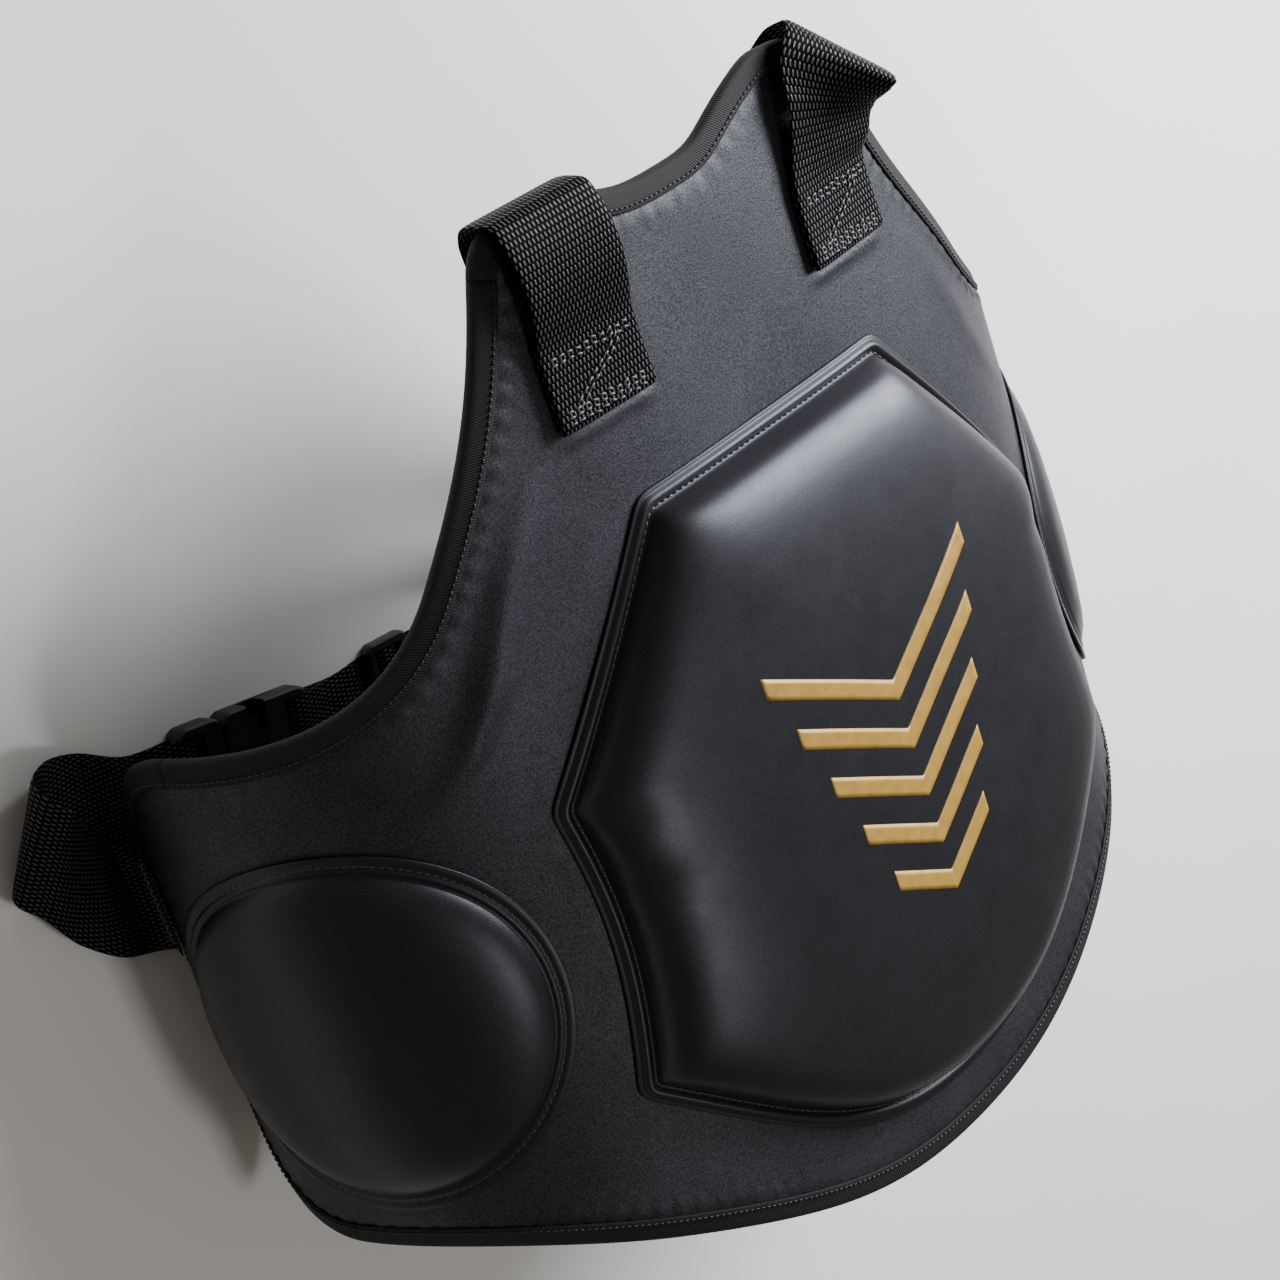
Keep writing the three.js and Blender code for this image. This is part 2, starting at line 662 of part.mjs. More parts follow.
function plugGeometry() {
  const near = [-BUCKLE_HALF, -BUCKLE_SIDE];
  const plate = roundedPlate(near, [MATING - CLEAR, BUCKLE_SIDE], PLUG_CORNER, 0, BUCKLE.height);
  let plug = withBar(plate, -1);
  plug = plug.add(block([MATING - 4, -GUIDE.side, PRONG.low], [GUIDE.tip, GUIDE.side, PRONG.high]));
  for (const side of [-1, 1]) {
    const across = [side * PRONG.near, side * PRONG.far].sort((a, b) => a - b);
    plug = plug.add(block([MATING - 4, across[0], PRONG.low], [PRONG.tip, across[1], PRONG.high]));
  }
  return geometryOfSolid(plug);
}

function socketGeometry() {
  const far = [BUCKLE_HALF, BUCKLE_SIDE];
  const plate = roundedPlate([MATING, -BUCKLE_SIDE], far, PLUG_CORNER, 0, BUCKLE.height);
  const hollowSide = PRONG.far + CLEAR;
  let socket = withBar(plate, 1);
  socket = socket.subtract(
    block([MATING - 1, -hollowSide, PRONG.low - CLEAR], [PRONG.tip + CLEAR, hollowSide, PRONG.high + CLEAR]),
  );
  for (const side of [-1, 1]) {
    const across = [side * (PRONG.near + 3), side * (BUCKLE_SIDE + 1)].sort((a, b) => a - b);
    socket = socket.subtract(block([2, across[0], PRONG.low - CLEAR], [PRONG.tip - 2, across[1], 20]));
  }
  return geometryOfSolid(socket);
}

function ladderLockGeometry() {
  const half = LADDER_LOCK.length / 2;
  const side = LADDER_LOCK.width / 2;
  const middle = LOCK_MIDDLE;
  const lock = roundedPlate([-half, -side], [half, side], LOCK_CORNER, 0, LADDER_LOCK.height)
    .subtract(block([-half - 1, -WEB_SIDE, -1], [half + 1, WEB_SIDE, LOCK_OVER_WEB]))
    .subtract(block([-half + LOCK_BAR, -WEB_SIDE, 0], [half - LOCK_BAR, WEB_SIDE, LADDER_LOCK.height + 1]))
    .add(block([-middle.half, -WEB_SIDE - 1, middle.low], [middle.half, WEB_SIDE + 1, middle.high]));
  return geometryOfSolid(lock);
}

function onFloor(mesh, place) {
  mesh.position.set(place.x, place.y, FLOOR);
  mesh.rotation.z = THREE.MathUtils.degToRad(place.heading);
  return mesh;
}

// Assembly

const panel = new THREE.Group();
panel.add(meshOf('shell', panelGeometry(), LEATHER));
panel.add(meshOf('belly_pad', bellyPadGeometry(), PAD_LEATHER));
panel.add(meshOf('side_pad_right', sidePadGeometry(-1), PAD_LEATHER));
panel.add(meshOf('side_pad_left', sidePadGeometry(1), PAD_LEATHER));

const binding = new THREE.Group();
const WHOLE = outline.length;
const BINDINGS = [
  { name: 'binding_neck', first: -RIGHT_ENDS.neck, last: LEFT_ENDS.neck },
  { name: 'binding_armhole_left', first: LEFT_ENDS.neck, last: LEFT_ENDS.armhole },
  { name: 'binding_rear_left', first: LEFT_ENDS.armhole, last: LEFT_ENDS.rear },
  { name: 'binding_lower', first: LEFT_ENDS.rear, last: WHOLE - RIGHT_ENDS.rear },
  { name: 'binding_rear_right', first: WHOLE - RIGHT_ENDS.rear, last: WHOLE - RIGHT_ENDS.armhole },
  { name: 'binding_armhole_right', first: WHOLE - RIGHT_ENDS.armhole, last: WHOLE - RIGHT_ENDS.neck },
];
for (const { name, first, last } of BINDINGS) {
  binding.add(meshOf(name, bindingGeometry(first, last), TAPE));
}

const harness = new THREE.Group();
harness.add(meshOf('shoulder_strap_right', rightStrapGeometry(), WEBBING));
harness.add(meshOf('shoulder_strap_left', leftStrapGeometry(), WEBBING));
harness.add(meshOf('belt_right', rightBeltGeometry(), WEBBING));
harness.add(meshOf('belt_left', leftBeltGeometry(), WEBBING));
harness.add(onFloor(meshOf('buckle_plug', plugGeometry(), PLASTIC), BUCKLE));
harness.add(onFloor(meshOf('buckle_socket', socketGeometry(), PLASTIC), BUCKLE));
harness.add(onFloor(meshOf('ladder_lock', ladderLockGeometry(), PLASTIC), LADDER_LOCK));

// The origin is under the middle of the whole part, on the floor
const bellyProtector = new THREE.Group();
bellyProtector.add(panel, binding, harness);
const box = new THREE.Box3().setFromObject(bellyProtector);
const middle = box.getCenter(new THREE.Vector3());
bellyProtector.position.set(-middle.x, -middle.y, -box.min.z);
bellyProtector.updateMatrixWorld(true);

export default bellyProtector;
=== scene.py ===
"""Looks of a trainer's belly pad, built round its solids.

The flat pattern is in millimetres: girth s sideways from the centre line, height v up from the
lower edge, depth w outward from the panel's inner face. wrap() bends it round the body, in metres.
"""
import math

import bpy
import numpy as np
from mathutils import Matrix, Vector
from mathutils.bvhtree import BVHTree


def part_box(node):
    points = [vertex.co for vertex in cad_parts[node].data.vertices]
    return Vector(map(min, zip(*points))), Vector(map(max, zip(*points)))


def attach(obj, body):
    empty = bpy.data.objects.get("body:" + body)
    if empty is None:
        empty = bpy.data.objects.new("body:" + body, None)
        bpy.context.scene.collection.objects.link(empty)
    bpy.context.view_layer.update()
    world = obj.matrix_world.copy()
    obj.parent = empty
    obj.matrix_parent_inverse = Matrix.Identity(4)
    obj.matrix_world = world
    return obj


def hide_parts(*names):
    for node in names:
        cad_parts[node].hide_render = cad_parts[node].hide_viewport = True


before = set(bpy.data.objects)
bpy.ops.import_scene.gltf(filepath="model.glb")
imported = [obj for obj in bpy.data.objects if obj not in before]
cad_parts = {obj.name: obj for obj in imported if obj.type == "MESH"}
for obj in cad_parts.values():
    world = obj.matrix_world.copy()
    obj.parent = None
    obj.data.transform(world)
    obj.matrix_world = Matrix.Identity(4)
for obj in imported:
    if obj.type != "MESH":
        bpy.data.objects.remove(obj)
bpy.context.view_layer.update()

MM = 0.001

# Panel and wrap
HALF_GIRTH = 370
PANEL_THICKNESS = 8
WRAP_GIRTH = 300
WRAP_ANGLE = 80
WRAP_POWER = 2.2
HANDLE = 0.39
EDGE_STEP = 4.2
PANEL_ROWS = 185
EDGE_TUCK = 1.0
EDGE_TAPER = 2.2
TAPER_REACH = 15
PUCKER_PITCH = 9.5
PUCKER_DEPTH = 0.6
PUCKER_INSET = 13
PUCKER_REACH = 4
RELIEF_START = 6  # distance in from the edge where the cover's relief starts
RELIEF_REACH = 12
RIDGE = [(123, 395), (134, 379), (151, 352), (169, 320), (186, 297), (205, 280)]
RIDGE_RISE = [0, 1.6, 3.6, 5.0, 3.0, 0]
RIDGE_REACH = 9.5
RIDGE_LEFT = 0.15  # share of the ridge on the left, where the panel lies flat

# Leather grain in metres
GRAIN_SIZE = 0.0006

# Stretches of an outline: s and v where each ends, and its headings in degrees
# The right neck's girth is counted to the right
NECK_LOWEST = (-8, 475)
NECK_LEFT = [
    (20, 480, 0, 26), (52, 494, 26, 19), (69, 496, 19, -6), (90, 490, -6, -45), (118, 460, -45, -62),
]
NECK_RIGHT = [(52, 481.5, 0, 22), (72, 487, 22, 0), (102, 487, 0, 0), (117, 473, 0, -70)]
ARMHOLE_EDGE = [(178, 366, -70, -53), (276, 327, -53, 0), (306, 327, 0, 0)]
REAR_EDGE = [(HALF_GIRTH, 225, 0, -90), (HALF_GIRTH, 150, -90, -90), (304, 90, -90, 180)]
LOWER_EDGE = [(170, 52, 180, 204), (0, 0, 204, 180)]

# Belly pad
BELLY_CENTRE = (0, 195)
BELLY_TOP = (0, 362)
BELLY_EDGE = [(80, 362, 0, 0), (164, 260, -50, -51), (170, 124, -100, -76), (0, 28, -139, 180)]
BELLY_STEP = 2.7
BELLY_RISE = [
    (0, 0.3), (0, 1.3), (0.4, 1.6), (1.5, 1.4), (2.1, 1.7), (2.9, 3.0), (4.1, 3.7), (5.3, 3.5), (6.5, 2.5),
    (7.5, 1.7), (8.3, 2.0), (9.1, 3.6), (10.1, 6.8), (11.4, 9.8), (13.4, 13.0), (16, 15.7), (19.5, 18.0),
    (24, 20.2), (31, 22.1), (40, 23.6), (52, 24.9), (66, 25.9), (82, 26.7), (100, 27.2),
]
BELLY_CROWN = 27.6
BELLY_SEAT = [98, 68, 46, 28, 14]
BELLY_ROUNDING = 4
BELLY_SEAM = (7.5, 1.9)
# Dents in the belly pad: s, v, depth and reach
BELLY_DENTS = [
    (-143, 250, 1.7, 9), (-138, 214, 1.4, 10), (-110, 255, 0.7, 13), (-92, 272, 0.6, 12),
    (-66, 300, 0.4, 15), (140, 236, 1.5, 10), (118, 190, 0.6, 16), (-60, 84, 0.5, 14),
    (70, 92, 0.5, 17), (20, 300, 0.3, 20),
]

# Side pads
SIDE_CENTRE = (266, 194)
SIDE_RADIUS = 86
SIDE_COUNT = 200
SIDE_RISE = [
    (0, 0.3), (0, 1.5), (0.4, 1.8), (3.4, 1.6), (4.5, 0.9), (5.4, 1.7), (6.4, 2.3), (7.4, 1.8), (8.2, 1.3),
    (9.2, 2.5), (11, 4.5), (15, 7.0), (21, 9.1), (30, 10.7), (42, 11.8), (58, 12.4), (72, 12.7),
]
SIDE_CROWN = 12.8
SIDE_FULLNESS = {"right": 1, "left": 0.72}
SIDE_SEAT = [72, 58, 44, 31, 20, 10]
SIDE_LIP = 2.6
SIDE_SEAM = (4.5, 1.1)
SIDE_DENTS = [(244, 238, 0.8, 14), (300, 160, 0.7, 18), (230, 160, 0.6, 16)]
PAD_SEAT = PANEL_THICKNESS + 0.2

# Binding tape: its section as distance in from the edge and depth
TAPE_OUTER = [
    (9.4, 0.15), (9.3, 0.9), (8.7, 1.3), (5, 1.5), (2, 1.5), (0, 1.3), (-1.0, 0.7), (-1.7, -0.4),
]
TAPE_INNER = [(4, 0.1), (0.8, 0), (0.2, -0.6)]
TAPE_SEAM = (7.2, 1.7)
TAPE_RIB = 1.1
TAPE_SLANT = 0.45

# Webbing
WEB_WIDTH = 52.5
WEB_THICKNESS = 2
WEB_STEP = 1.2
WEB_COLUMNS = 72
WEAVE_ALONG = 2.9
WEAVE_ACROSS = 3 * WEB_WIDTH / WEB_COLUMNS
WEAVE_DEPTH = 0.35
RIGHT_TAB = -79.5
LEFT_TAB = 82
TAB_LOW = 401
TAB_HIGH = 437
TAB_OVER = PANEL_THICKNESS + 3.75
TAB_UNDER = PANEL_THICKNESS + 1.5
TAB_LIFT = PANEL_THICKNESS + 4.1
TAB_GIRTH = 80.5  # where the cover is pressed, between the two tabs' girths
TAB_PRESS = 0.7
TAB_SWELL = 1.7
FLOOR_WEB = 1.35

# Thread
STITCH_PITCH = 3.7
STITCH_LENGTH = 2.9
STITCH_WIDTH = 0.95

# Print on the belly pad: stacked chevrons, each its lowest point, half width and rise of its arms
PRINT_CHEVRONS = [(128, 34, 20), (152, 43, 25), (176, 52, 30), (200, 61, 35), (224, 70, 40)]
PRINT_STROKE = 10
PRINT_STEPS = 60
PRINT_LIFT = 0.18

# Belt hardware on the floor: place and heading of the buckle and of the ladder lock
BUCKLE = {"x": -180, "y": 273, "heading": -12, "half": 36}
LADDER_LOCK = {"x": -88, "y": 259, "heading": -6}

# View: camera and its target in the flat pattern's millimetres
CAMERA_PLACE = (-833.99, 752.72, 842.99)
CAMERA_TARGET = (-150.36, 336.83, 60)
CAMERA_ROLL = 93.92
CAMERA_LENS = 82.69


# Wrap

def wrap_turn(girth):
    return math.radians(WRAP_ANGLE) * (girth / WRAP_GIRTH) ** WRAP_POWER


GIRTH_STEP = 0.5
GIRTHS = np.arange(0, HALF_GIRTH + 30, GIRTH_STEP)
STEP_TURNS = wrap_turn(GIRTHS[:-1] + GIRTH_STEP / 2)
WRAP_X = np.concatenate([[0], np.cumsum(GIRTH_STEP * np.cos(STEP_TURNS))])
WRAP_Z = np.concatenate([[0], np.cumsum(-GIRTH_STEP * np.sin(STEP_TURNS))])

shell_low, shell_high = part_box("shell")
ORIGIN = np.array([
    (shell_low.x + shell_high.x) / 2,
    shell_low.y,
    shell_high.z - PANEL_THICKNESS * MM,
])
FLOOR = -ORIGIN[2] / MM


def placed(points):
    """Points of the pattern's own millimetres, unwrapped, in the part's frame."""
    return np.asarray(points, float) * MM + ORIGIN


def wrap_mm(s, v, w):
    s, v, w = np.broadcast_arrays(np.asarray(s, float), np.asarray(v, float), np.asarray(w, float))
    girth = np.abs(s)
    turn = wrap_turn(girth)
    x = np.sign(s) * (np.interp(girth, GIRTHS, WRAP_X) + w * np.sin(turn))
    z = np.interp(girth, GIRTHS, WRAP_Z) + w * np.cos(turn)
    return np.stack([x, v, z], -1)


def wrap(s, v, w):
    return placed(wrap_mm(s, v, w))


# Outlines

def heading(degrees):
    return np.array([math.cos(math.radians(degrees)), math.sin(math.radians(degrees))])


def trace_edge(start, stretches, step):
    points = [np.array(start, float)]
    for s, v, leave, arrive in stretches:
        first = points[-1]
        last = np.array([s, v], float)
        reach = HANDLE * np.linalg.norm(last - first)
        controls = [first, first + reach * heading(leave), last - reach * heading(arrive), last]
        t = np.linspace(0, 1, 200)[:, None]
        a, b, c, d = controls
        curve = (1 - t) ** 3 * a + 3 * (1 - t) ** 2 * t * b + 3 * (1 - t) * t ** 2 * c + t ** 3 * d
        run = np.concatenate([[0], np.cumsum(np.linalg.norm(np.diff(curve, axis=0), axis=1))])
        count = max(2, math.ceil(run[-1] / step))
        marks = np.linspace(0, run[-1], count + 1)[1:]
        points += [np.array([np.interp(m, run, curve[:, 0]), np.interp(m, run, curve[:, 1])]) for m in marks]
    return np.array(points)


def mirrored(points):
    return (points * [-1, 1])[::-1]


neck_left = trace_edge(NECK_LOWEST, NECK_LEFT, EDGE_STEP)
neck_right = trace_edge((-NECK_LOWEST[0], NECK_LOWEST[1]), NECK_RIGHT, EDGE_STEP)
armhole_left = trace_edge(neck_left[-1], ARMHOLE_EDGE, EDGE_STEP)
armhole_right = trace_edge(neck_right[-1], ARMHOLE_EDGE, EDGE_STEP)
rear = trace_edge(armhole_left[-1], REAR_EDGE, EDGE_STEP)
lower_half = trace_edge(rear[-1], LOWER_EDGE, EDGE_STEP)


def outline_half(neck, armhole):
    return np.concatenate([neck, armhole[1:], rear[1:], lower_half[1:]])


def stretch_ends(neck, armhole):
    """Steps from the neck's lowest place to the ends of the neck, the armhole and the rear edge."""
    neck_end = len(neck) - 1
    armhole_end = neck_end + len(armhole) - 1
    return neck_end, armhole_end, armhole_end + len(rear) - 1


outline = np.concatenate([
    outline_half(neck_left, armhole_left),
    mirrored(outline_half(neck_right, armhole_right))[1:-1],
])


def edge_taper(edge):
    """How far each face draws in near the panel's edge, where the binding pulls it thin."""
    share = np.clip(edge / TAPER_REACH, 0, 1)
    return EDGE_TAPER * (1 - share * share * (3 - 2 * share))


def edge_distance(edge, points):
    """Distance of each point to a closed outline, and how far round the outline its nearest place is."""
    start = edge[None]
    span = np.roll(edge, -1, 0)[None] - start
    long = np.linalg.norm(span, axis=-1)
    offset = points[:, None] - start
    share = np.clip((offset * span).sum(-1) / long ** 2, 0, 1)
    gap = np.linalg.norm(offset - share[..., None] * span, axis=-1)
    nearest = gap.argmin(1)
    row = np.arange(len(points))
    before = np.concatenate([[0], np.cumsum(long[0])[:-1]])
    return gap[row, nearest], before[nearest] + share[row, nearest] * long[0, nearest]


def rounded(ring, passes):
    for _ in range(passes):
        ring = (np.roll(ring, 1, 0) + 2 * ring + np.roll(ring, -1, 0)) / 4
    return ring


def inset_ring(edge, centre, inset):
    near = np.zeros(len(edge))
    far = np.ones(len(edge))
    for _ in range(18):
        middle = (near + far) / 2
        short = edge_distance(edge, edge + (centre - edge) * middle[:, None])[0] < inset
        near = np.where(short, middle, near)
        far = np.where(short, far, middle)
    return edge if inset == 0 else edge + (centre - edge) * far[:, None]


# Meshes

def mesh_object(name, points, face_sets, materials, body="root"):
    mesh = bpy.data.meshes.new(name)
    mesh.from_pydata(points.tolist(), [], [face for faces in face_sets for face in faces.tolist()])
    mesh.validate()
    mesh.update()
    mesh.shade_smooth()
    for material in materials:
        mesh.materials.append(material)
    piece = bpy.data.objects.new(name, mesh)
    bpy.context.scene.collection.objects.link(piece)
    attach(piece, body)
    return piece


def ring_faces(rings, count):
    """Quads between neighbouring closed rings of equal count."""
    start = np.arange(rings - 1)[:, None] * count
    here = np.arange(count)[None]
    beside = (here + 1) % count
    quads = np.stack([start + here, start + beside, start + count + beside, start + count + here], -1)
    return quads.reshape(-1, 4)


def faced_out(points, face_sets):
    """The faces, turned if they enclose a negative volume."""
    volume = 0.0
    for faces in face_sets:
        for k in range(1, faces.shape[1] - 1):
            a, b, c = (points[faces[:, i]] for i in (0, k, k + 1))
            volume += (a * np.cross(b, c)).sum()
    return face_sets if volume > 0 else [faces[:, ::-1] for faces in face_sets]


def slab(name, top, bottom, materials):
    """A closed sheet between two grids of points that match."""
    rings = np.concatenate([top, bottom[:, ::-1]], 1)
    steps, around = rings.shape[:2]
    points = rings.reshape(-1, 3)
    row = np.arange(around // 2 - 1)
    end = np.stack([row, row + 1, around - 2 - row, around - 1 - row], -1)
    faces = np.concatenate([ring_faces(steps, around), end[:, ::-1], end + (steps - 1) * around])
    return mesh_object(name, points, faced_out(points, [faces]), materials)


def point_attribute(piece, name, values):
    attribute = piece.data.attributes.new(name, "FLOAT", "POINT")
    attribute.data.foreach_set("value", np.asarray(values, np.float32).ravel())


# Materials

def new_material(name, colour, roughness):
    material = bpy.data.materials.new(name)
    material.use_nodes = True
    shader = material.node_tree.nodes["Principled BSDF"]
    shader.inputs["Base Color"].default_value = (*colour, 1)
    shader.inputs["Roughness"].default_value = roughness
    return material, material.node_tree, shader


def add_node(tree, kind, **values):
    node = tree.nodes.new(kind)
    for name, value in values.items():
        if name in node.inputs:
            node.inputs[name].default_value = value
        else:
            setattr(node, name, value)
    return node


def noise(tree, coordinates, scale, detail=2.0):
    node = add_node(tree, "ShaderNodeTexNoise", Scale=scale, Detail=detail)
    tree.links.new(coordinates, node.inputs["Vector"])
    return node.outputs["Fac"]


def mapped(tree, value, low, high, first=0.3, last=0.7):
    node = add_node(tree, "ShaderNodeMapRange")
    for name, number in (("From Min", first), ("From Max", last), ("To Min", low), ("To Max", high)):
        node.inputs[name].default_value = number
    tree.links.new(value, node.inputs["Value"])
    return node.outputs["Result"]


def mixed(tree, share, first, last):
    node = add_node(tree, "ShaderNodeMix", data_type="RGBA")
    node.inputs[6].default_value = (*first, 1)
    node.inputs[7].default_value = (*last, 1)
    tree.links.new(share, node.inputs[0])
    return node.outputs[2]


def bump(tree, height, distance, strength, normal=None):
    node = add_node(tree, "ShaderNodeBump", Strength=strength, Distance=distance)
    tree.links.new(height, node.inputs["Height"])
    if normal is not None:
        tree.links.new(normal, node.inputs["Normal"])
    return node.outputs["Normal"]


def object_coordinates(tree):
    return add_node(tree, "ShaderNodeTexCoord").outputs["Object"]


def leather(name, dark, light, roughness, shine, grain_depth):
    """Speckled grain on soft clouds; the pairs give the lowest and highest roughness and shine."""
    material, tree, shader = new_material(name, light, roughness[1])
    where = object_coordinates(tree)
    speckle = noise(tree, where, 0.66 / GRAIN_SIZE, 2)
    tone = add_node(tree, "ShaderNodeMath", operation="ADD")
    tree.links.new(mapped(tree, noise(tree, where, 30, 5), 0, 0.4), tone.inputs[0])
    tree.links.new(mapped(tree, speckle, 0, 0.6), tone.inputs[1])
    tree.links.new(mixed(tree, tone.outputs[0], dark, light), shader.inputs["Base Color"])
    tree.links.new(mapped(tree, noise(tree, where, 70, 5), *roughness), shader.inputs["Roughness"])
    tree.links.new(mapped(tree, speckle, *shine), shader.inputs["Specular IOR Level"])
    shader.inputs["Specular Tint"].default_value = (0.85, 0.87, 1, 1)
    cells = add_node(tree, "ShaderNodeTexVoronoi", feature="SMOOTH_F1", Scale=1 / GRAIN_SIZE)
    tree.links.new(where, cells.inputs["Vector"])
    grain = bump(tree, cells.outputs["Distance"], grain_depth, 0.5)
    fine = bump(tree, noise(tree, where, 1.6 / GRAIN_SIZE, 3), grain_depth, 0.45, grain)
    tree.links.new(fine, shader.inputs["Normal"])
    return material


def tape_material():
    material, tree, shader = new_material("binding_tape", (0.012, 0.012, 0.013), 0.7)
    height = mapped(tree, swing(tree, "rib", TAPE_RIB), 0, 1, -0.8, 0.9)
    # Painted shade: the colour darkens into the rib valleys and lightens on the rib crests, following the
    # rib height.
    colour = mixed(tree, height, (0.001, 0.001, 0.0013), (0.02, 0.02, 0.022))
    tree.links.new(colour, shader.inputs["Base Color"])
    tree.links.new(bump(tree, height, 0.0003, 0.6), shader.inputs["Normal"])
    shader.inputs["Specular IOR Level"].default_value = 0.25
    return material


def swing(tree, attribute, pitch):
    """A level that swings evenly between -1 and 1 along an attribute."""
    place = add_node(tree, "ShaderNodeAttribute", attribute_name=attribute).outputs["Fac"]
    turn = add_node(tree, "ShaderNodeMath", operation="MULTIPLY")
    turn.inputs[1].default_value = 2 * math.pi / pitch
    level = add_node(tree, "ShaderNodeMath", operation="COSINE")
    tree.links.new(place, turn.inputs[0])
    tree.links.new(turn.outputs[0], level.inputs[0])
    return level.outputs[0]


def webbing_material():
    """Yarn floats: short light dashes of painted highlight on a black band, with painted shade in the gaps,
    each row shifted by half a float.
    """
    material, tree, shader = new_material("webbing", (0.02, 0.02, 0.022), 0.5)
    dash = add_node(tree, "ShaderNodeMath", operation="MULTIPLY")
    tree.links.new(swing(tree, "across", WEAVE_ACROSS), dash.inputs[0])
    tree.links.new(swing(tree, "run", 2 * WEAVE_ALONG), dash.inputs[1])
    height = mapped(tree, dash.outputs[0], 0, 1, 0.12, 0.62)
    # Painted highlight on the raised floats and painted shade in the gaps: the colour follows the weave's
    # height.
    colour = mixed(tree, height, (0.0015, 0.0015, 0.002), (0.038, 0.038, 0.042))
    tree.links.new(colour, shader.inputs["Base Color"])
    tree.links.new(mapped(tree, height, 0.02, 0.45, 0, 1), shader.inputs["Specular IOR Level"])
    fibre = noise(tree, object_coordinates(tree), 2600, 1)
    tree.links.new(mapped(tree, fibre, 0.34, 0.56), shader.inputs["Roughness"])
    weave = bump(tree, height, 0.0005, 0.5)
    tree.links.new(bump(tree, fibre, 0.0001, 0.3, weave), shader.inputs["Normal"])
    return material


def thread_material(name, dark, light):
    material, tree, shader = new_material(name, light, 0.42)
    ply_and_glint = noise(tree, object_coordinates(tree), 1800, 2)
    # The noise mixes the dark thread with a lighter grey: painted glints along the ply, which also gives the
    # ply's bump.
    tree.links.new(mixed(tree, mapped(tree, ply_and_glint, 0, 1), dark, light), shader.inputs["Base Color"])
    tree.links.new(bump(tree, ply_and_glint, 0.0001, 0.4), shader.inputs["Normal"])
    return material


def plastic_material():
    material, tree, shader = new_material("buckle_plastic", (0.011, 0.011, 0.012), 0.38)
    where = object_coordinates(tree)
    tree.links.new(mapped(tree, noise(tree, where, 90, 3), 0.3, 0.48), shader.inputs["Roughness"])
    tree.links.new(bump(tree, noise(tree, where, 1500, 2), 0.00005, 0.3), shader.inputs["Normal"])
    return material


def print_material():
    material, tree, shader = new_material("gold_print", (0.5, 0.34, 0.1), 0.45)
    where = object_coordinates(tree)
    cloud = mapped(tree, noise(tree, where, 160, 4), 0, 1)
    colour = mixed(tree, cloud, (0.38, 0.215, 0.034), (0.47, 0.28, 0.055))
    tree.links.new(colour, shader.inputs["Base Color"])
    tree.links.new(bump(tree, noise(tree, where, 1400, 2), 0.0001, 0.25), shader.inputs["Normal"])
    shader.inputs["Metallic"].default_value = 0.15
    return material


PANEL_LEATHER = leather(
    "leather_panel", dark=(0.004, 0.004, 0.0055), light=(0.025, 0.025, 0.031),
    roughness=(0.46, 0.53), shine=(0.2, 0.58), grain_depth=0.00016)
PAD_LEATHER = leather(
    "leather_pad", dark=(0.005, 0.005, 0.0062), light=(0.0125, 0.0125, 0.0155),
    roughness=(0.38, 0.43), shine=(0.36, 0.46), grain_depth=0.00005)
TAPE = tape_material()
WEBBING = webbing_material()
# Each thread's lighter colour is a painted glint on the dark thread.
SEAM_THREAD = thread_material("seam_thread", (0.02, 0.02, 0.024), (0.075, 0.075, 0.088))
TAPE_THREAD = thread_material("tape_thread", (0.006, 0.006, 0.007), (0.026, 0.026, 0.029))
TAB_THREAD = thread_material("tab_thread", (0.03, 0.03, 0.032), (0.15, 0.15, 0.155))
PLASTIC = plastic_material()
GOLD = print_material()


# Thread

def stitch_shape():
    """One stitch of unit half length and width, and its faces."""
    turn = np.linspace(0, 2 * math.pi, 6, endpoint=False)
    rings = [
        [(along, radius * math.cos(t), radius * math.sin(t) - dip) for t in turn]
        for along, radius, dip in ((-1, 0.3, 0.7), (-0.6, 0.95, 0), (0.6, 0.95, 0), (1, 0.3, 0.7))
    ]
    caps = np.array([[5, 4, 3, 2, 1, 0], [18, 19, 20, 21, 22, 23]])
    return np.array(rings).reshape(-1, 3), ring_faces(4, 6), caps


def sew(name, line, normal, material, size=1.0, mess=0.0):
    """A row of stitches along a line of points, standing on a surface of that normal."""
    run = np.concatenate([[0], np.cumsum(np.linalg.norm(np.diff(line, axis=0), axis=1))])
    pitch = STITCH_PITCH * size * MM
    marks = np.arange(pitch / 2, run[-1], pitch)
    centre = np.stack([np.interp(marks, run, line[:, i]) for i in range(3)], -1)
    up = np.stack([np.interp(marks, run, normal[:, i]) for i in range(3)], -1)
    up /= np.linalg.norm(up, axis=1)[:, None]
    ahead = np.stack([np.interp(marks + 0.5 * MM, run, line[:, i]) for i in range(3)], -1)
    ahead -= np.stack([np.interp(marks - 0.5 * MM, run, line[:, i]) for i in range(3)], -1)
    side = np.cross(up, ahead)
    side /= np.linalg.norm(side, axis=1)[:, None]
    ahead = np.cross(side, up)
    chance = np.random.default_rng(7)
    sway = chance.normal(0, mess * 0.3, len(marks))[:, None]
    centre = centre + side * chance.normal(0, mess * 0.5, len(marks))[:, None] * MM
    ahead, side = ahead * np.cos(sway) + side * np.sin(sway), side * np.cos(sway) - ahead * np.sin(sway)
    shape, quads, caps = stitch_shape()
    local = shape * np.array([STITCH_LENGTH, STITCH_WIDTH, STITCH_WIDTH]) / 2 * size * MM
    axes = np.stack([ahead, side, up], 1)
    points = centre[:, None] + np.einsum("ki,nij->nkj", local, axes)
    offset = (np.arange(len(marks)) * len(shape))[:, None, None]
    faces = [(quads[None] + offset).reshape(-1, 4), (caps[None] + offset).reshape(-1, 6)]
    points = points.reshape(-1, 3)
    piece = mesh_object(name, points, faced_out(points, faces), [material])


